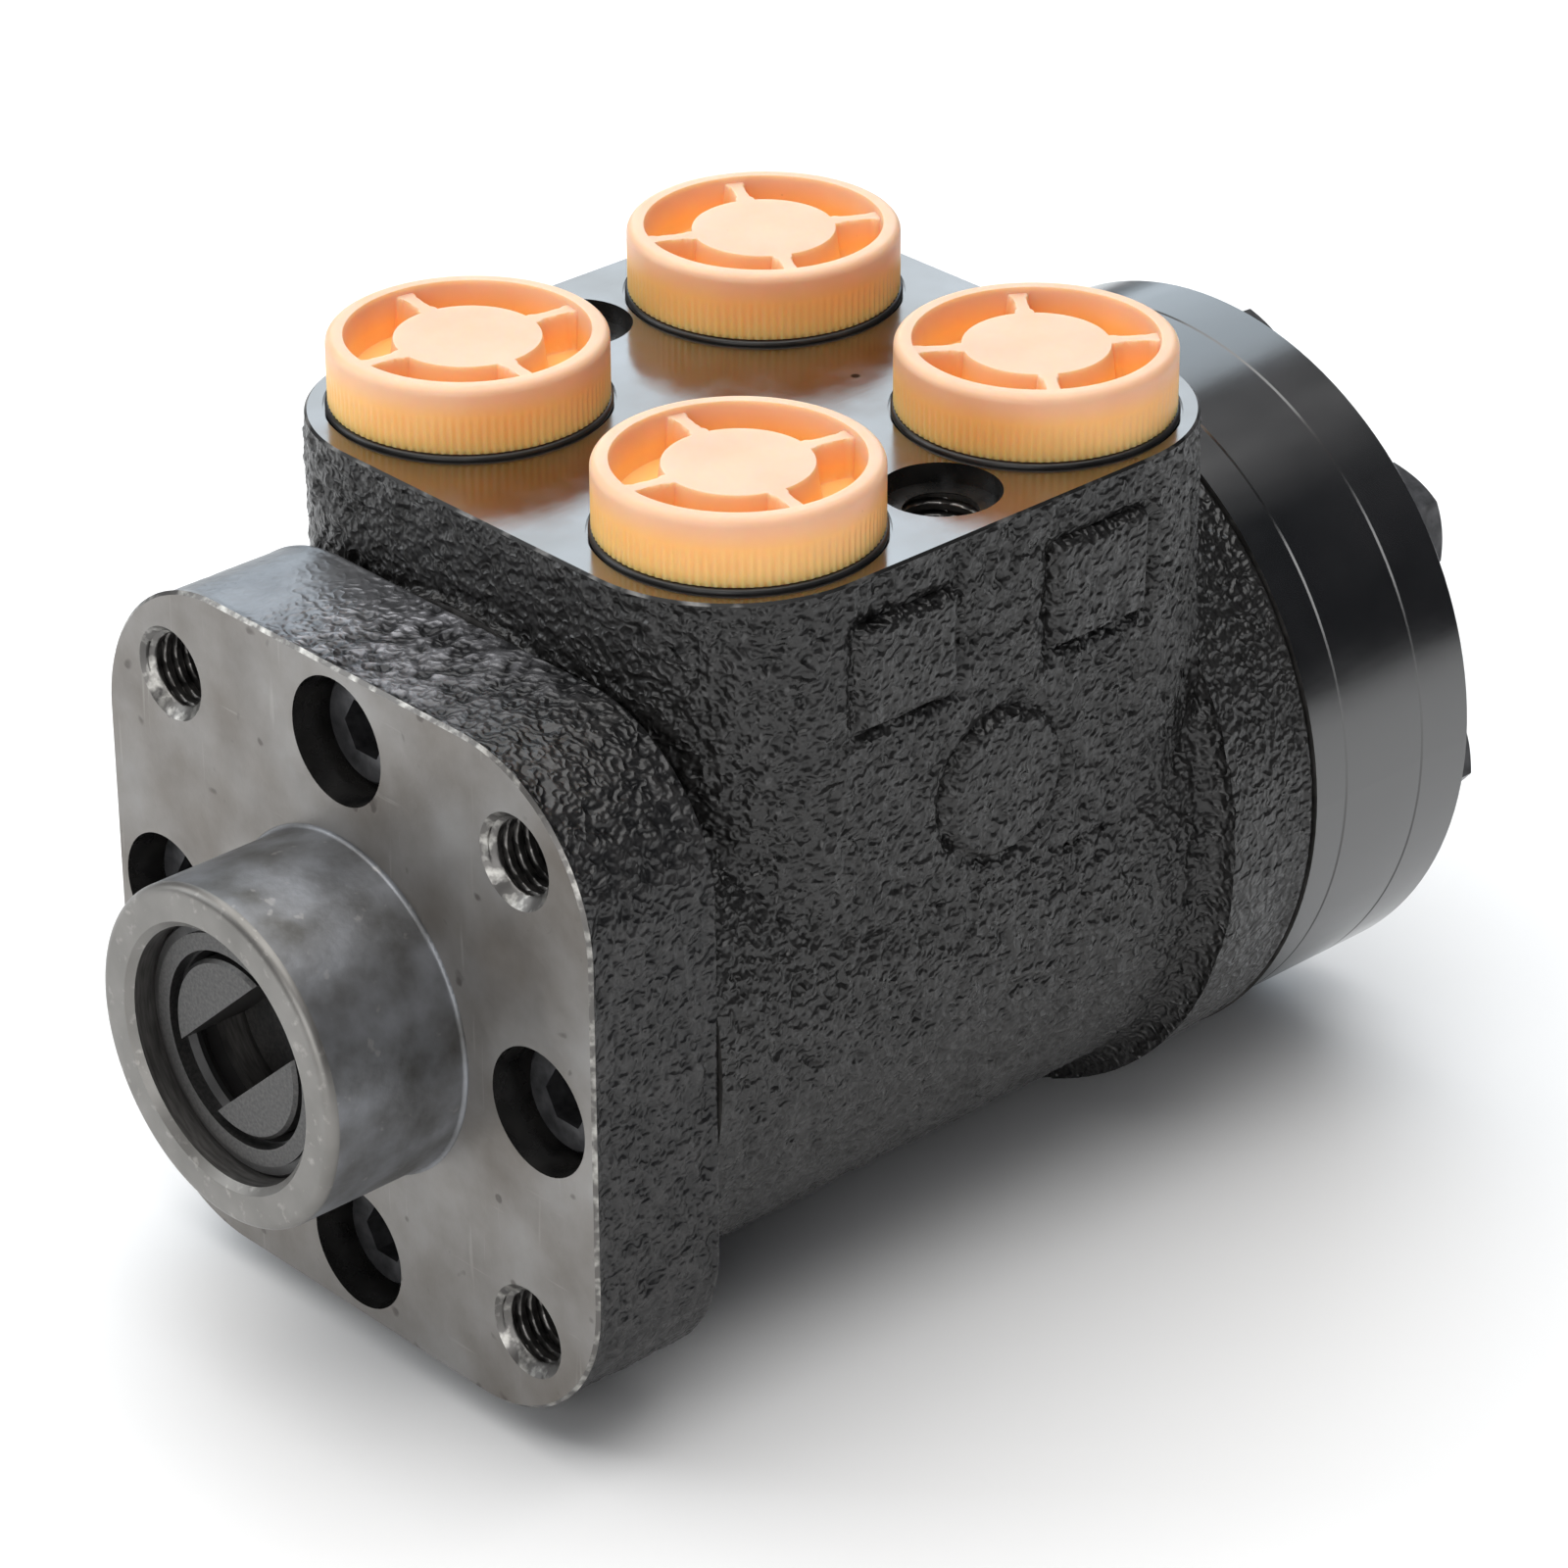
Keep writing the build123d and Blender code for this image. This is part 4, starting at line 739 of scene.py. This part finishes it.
# ---- Screws and washers ---------------------------------------------------------------------------
# Socket and hexagon head screws, black oxide steel wiped with oil, on copper sealing washers.
black_oxide, tree, shader = new_finish("black_oxide", 0.7, 0.34)
tone_by(tree, shader, grain_of(tree, 1.8, seed=91.0), (0.03, 0.03, 0.032), (0.10, 0.10, 0.105))
raise_bumps(tree, shader, grain_of(tree, 0.5, 2.0, seed=92.0), 0.01, 0.4)

copper, tree, shader = new_finish("soft_copper", 1.0, 0.35)
tone_by(tree, shader, grain_of(tree, 2.5, seed=93.0), (0.50, 0.24, 0.14), (0.80, 0.46, 0.30))
raise_bumps(tree, shader, grain_of(tree, 0.6, 2.0, seed=94.0), 0.01, 0.4)

# ---- Valve, gear and bearing steel ----------------------------------------------------------------
# Ground and hardened pieces inside, with fine turning lines round the shaft axis and a film of oil.
ground_steel, tree, shader = new_finish("ground_steel", 1.0)
lines = grain_of(tree, 0.25, 2.0, (0.15, 1, 0.15), seed=101.0)
tone_by(tree, shader, lines, (0.36, 0.36, 0.37), (0.52, 0.52, 0.53))
gloss_by(tree, shader, grain_of(tree, 4.0, seed=102.0), 0.22, 0.38)
raise_bumps(tree, shader, lines, 0.005, 0.4)

spool_steel, tree, shader = new_finish("spool_neck_steel", 0.85, 0.4)
specks = grain_of(tree, 0.4, 2.0, seed=103.0)
tone_by(tree, shader, specks, (0.055, 0.055, 0.055), (0.105, 0.102, 0.10))
raise_bumps(tree, shader, specks, 0.006, 0.4)

spring_steel, tree, shader = new_finish("blued_spring_steel", 1.0, 0.3)
tone_by(tree, shader, grain_of(tree, 4.0, seed=104.0), (0.24, 0.27, 0.36), (0.36, 0.37, 0.42))
raise_bumps(tree, shader, grain_of(tree, 0.3, 2.0, (1, 0.2, 1), seed=105.0), 0.004, 0.4)

# ---- Seals and gaskets ----------------------------------------------------------------------------
# Moulded black nitrile: O-rings, shaft seal, wiper and the flat rings under the plugs, slightly oily.
nitrile, tree, shader = new_finish("black_nitrile")
tone_by(tree, shader, grain_of(tree, 3.0, seed=111.0), (0.007, 0.007, 0.007), (0.02, 0.019, 0.019))
gloss_by(tree, shader, grain_of(tree, 2.0, seed=112.0), 0.28, 0.5)
raise_bumps(tree, shader, grain_of(tree, 0.7, 2.0, seed=113.0), 0.02, 0.4)

ring_low, ring_high, ring_outer_r, ring_wall, ring_round = 52.2, 53.15, 16.1, 4.6, 0.4


def squeezed_rings():
    """The four rings under the plugs, each in the spot face of its port and proud of it by a rounded
    lip: four quarter rounds one after the other make the section, which is carried round the axis."""
    bend = np.linspace(0, 2 * math.pi, 32, endpoint=False) + math.pi / 32
    half_width, half_height = ring_wall / 2 - ring_round, (ring_high - ring_low) / 2 - ring_round
    middle_r, middle_z = ring_outer_r - ring_wall / 2, (ring_low + ring_high) / 2
    section_r = middle_r + half_width * np.sign(np.cos(bend)) + ring_round * np.cos(bend)
    section_z = middle_z + half_height * np.sign(np.sin(bend)) + ring_round * np.sin(bend)
    turn = np.linspace(2 * math.pi, 0, 128, endpoint=False)[:, None]
    across, around = section_r * np.cos(turn), section_r * np.sin(turn)
    level = np.broadcast_to(section_z, across.shape)
    rings = [np.stack([side * port_reach + across, block_middle + end * port_reach + around, level], -1)
             for side in (-1, 1) for end in (-1, 1)]
    faces = grid_faces(len(turn) + 1, len(bend)) % across.size
    all_faces = [faces + across.size * order for order in range(len(rings))]
    return np.concatenate(rings), np.concatenate(all_faces)


rings = make_piece("port_rings", *squeezed_rings(), [nitrile], "unit", "black_rubber", 60.0)
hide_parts("port_gaskets")

# The solids that stay as they are take their worn finish by the name of the plain one.
worn_finish = {"gloss_black": gloss_paint, "black_oxide": black_oxide, "ground_steel": ground_steel,
               "spring_steel": spring_steel, "copper": copper, "black_rubber": nitrile,
               "painted_casting": painted_casting, "column_casting": bare_face,
               "cream_plastic": cream_plastic}
for name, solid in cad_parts.items():
    for slot in solid.material_slots:
        plain_name = slot.material.name.split(".")[0]
        in_spool = name in ("spool", "dust_seal_ring")
        slot.material = spool_steel if in_spool else worn_finish.get(plain_name, ground_steel)
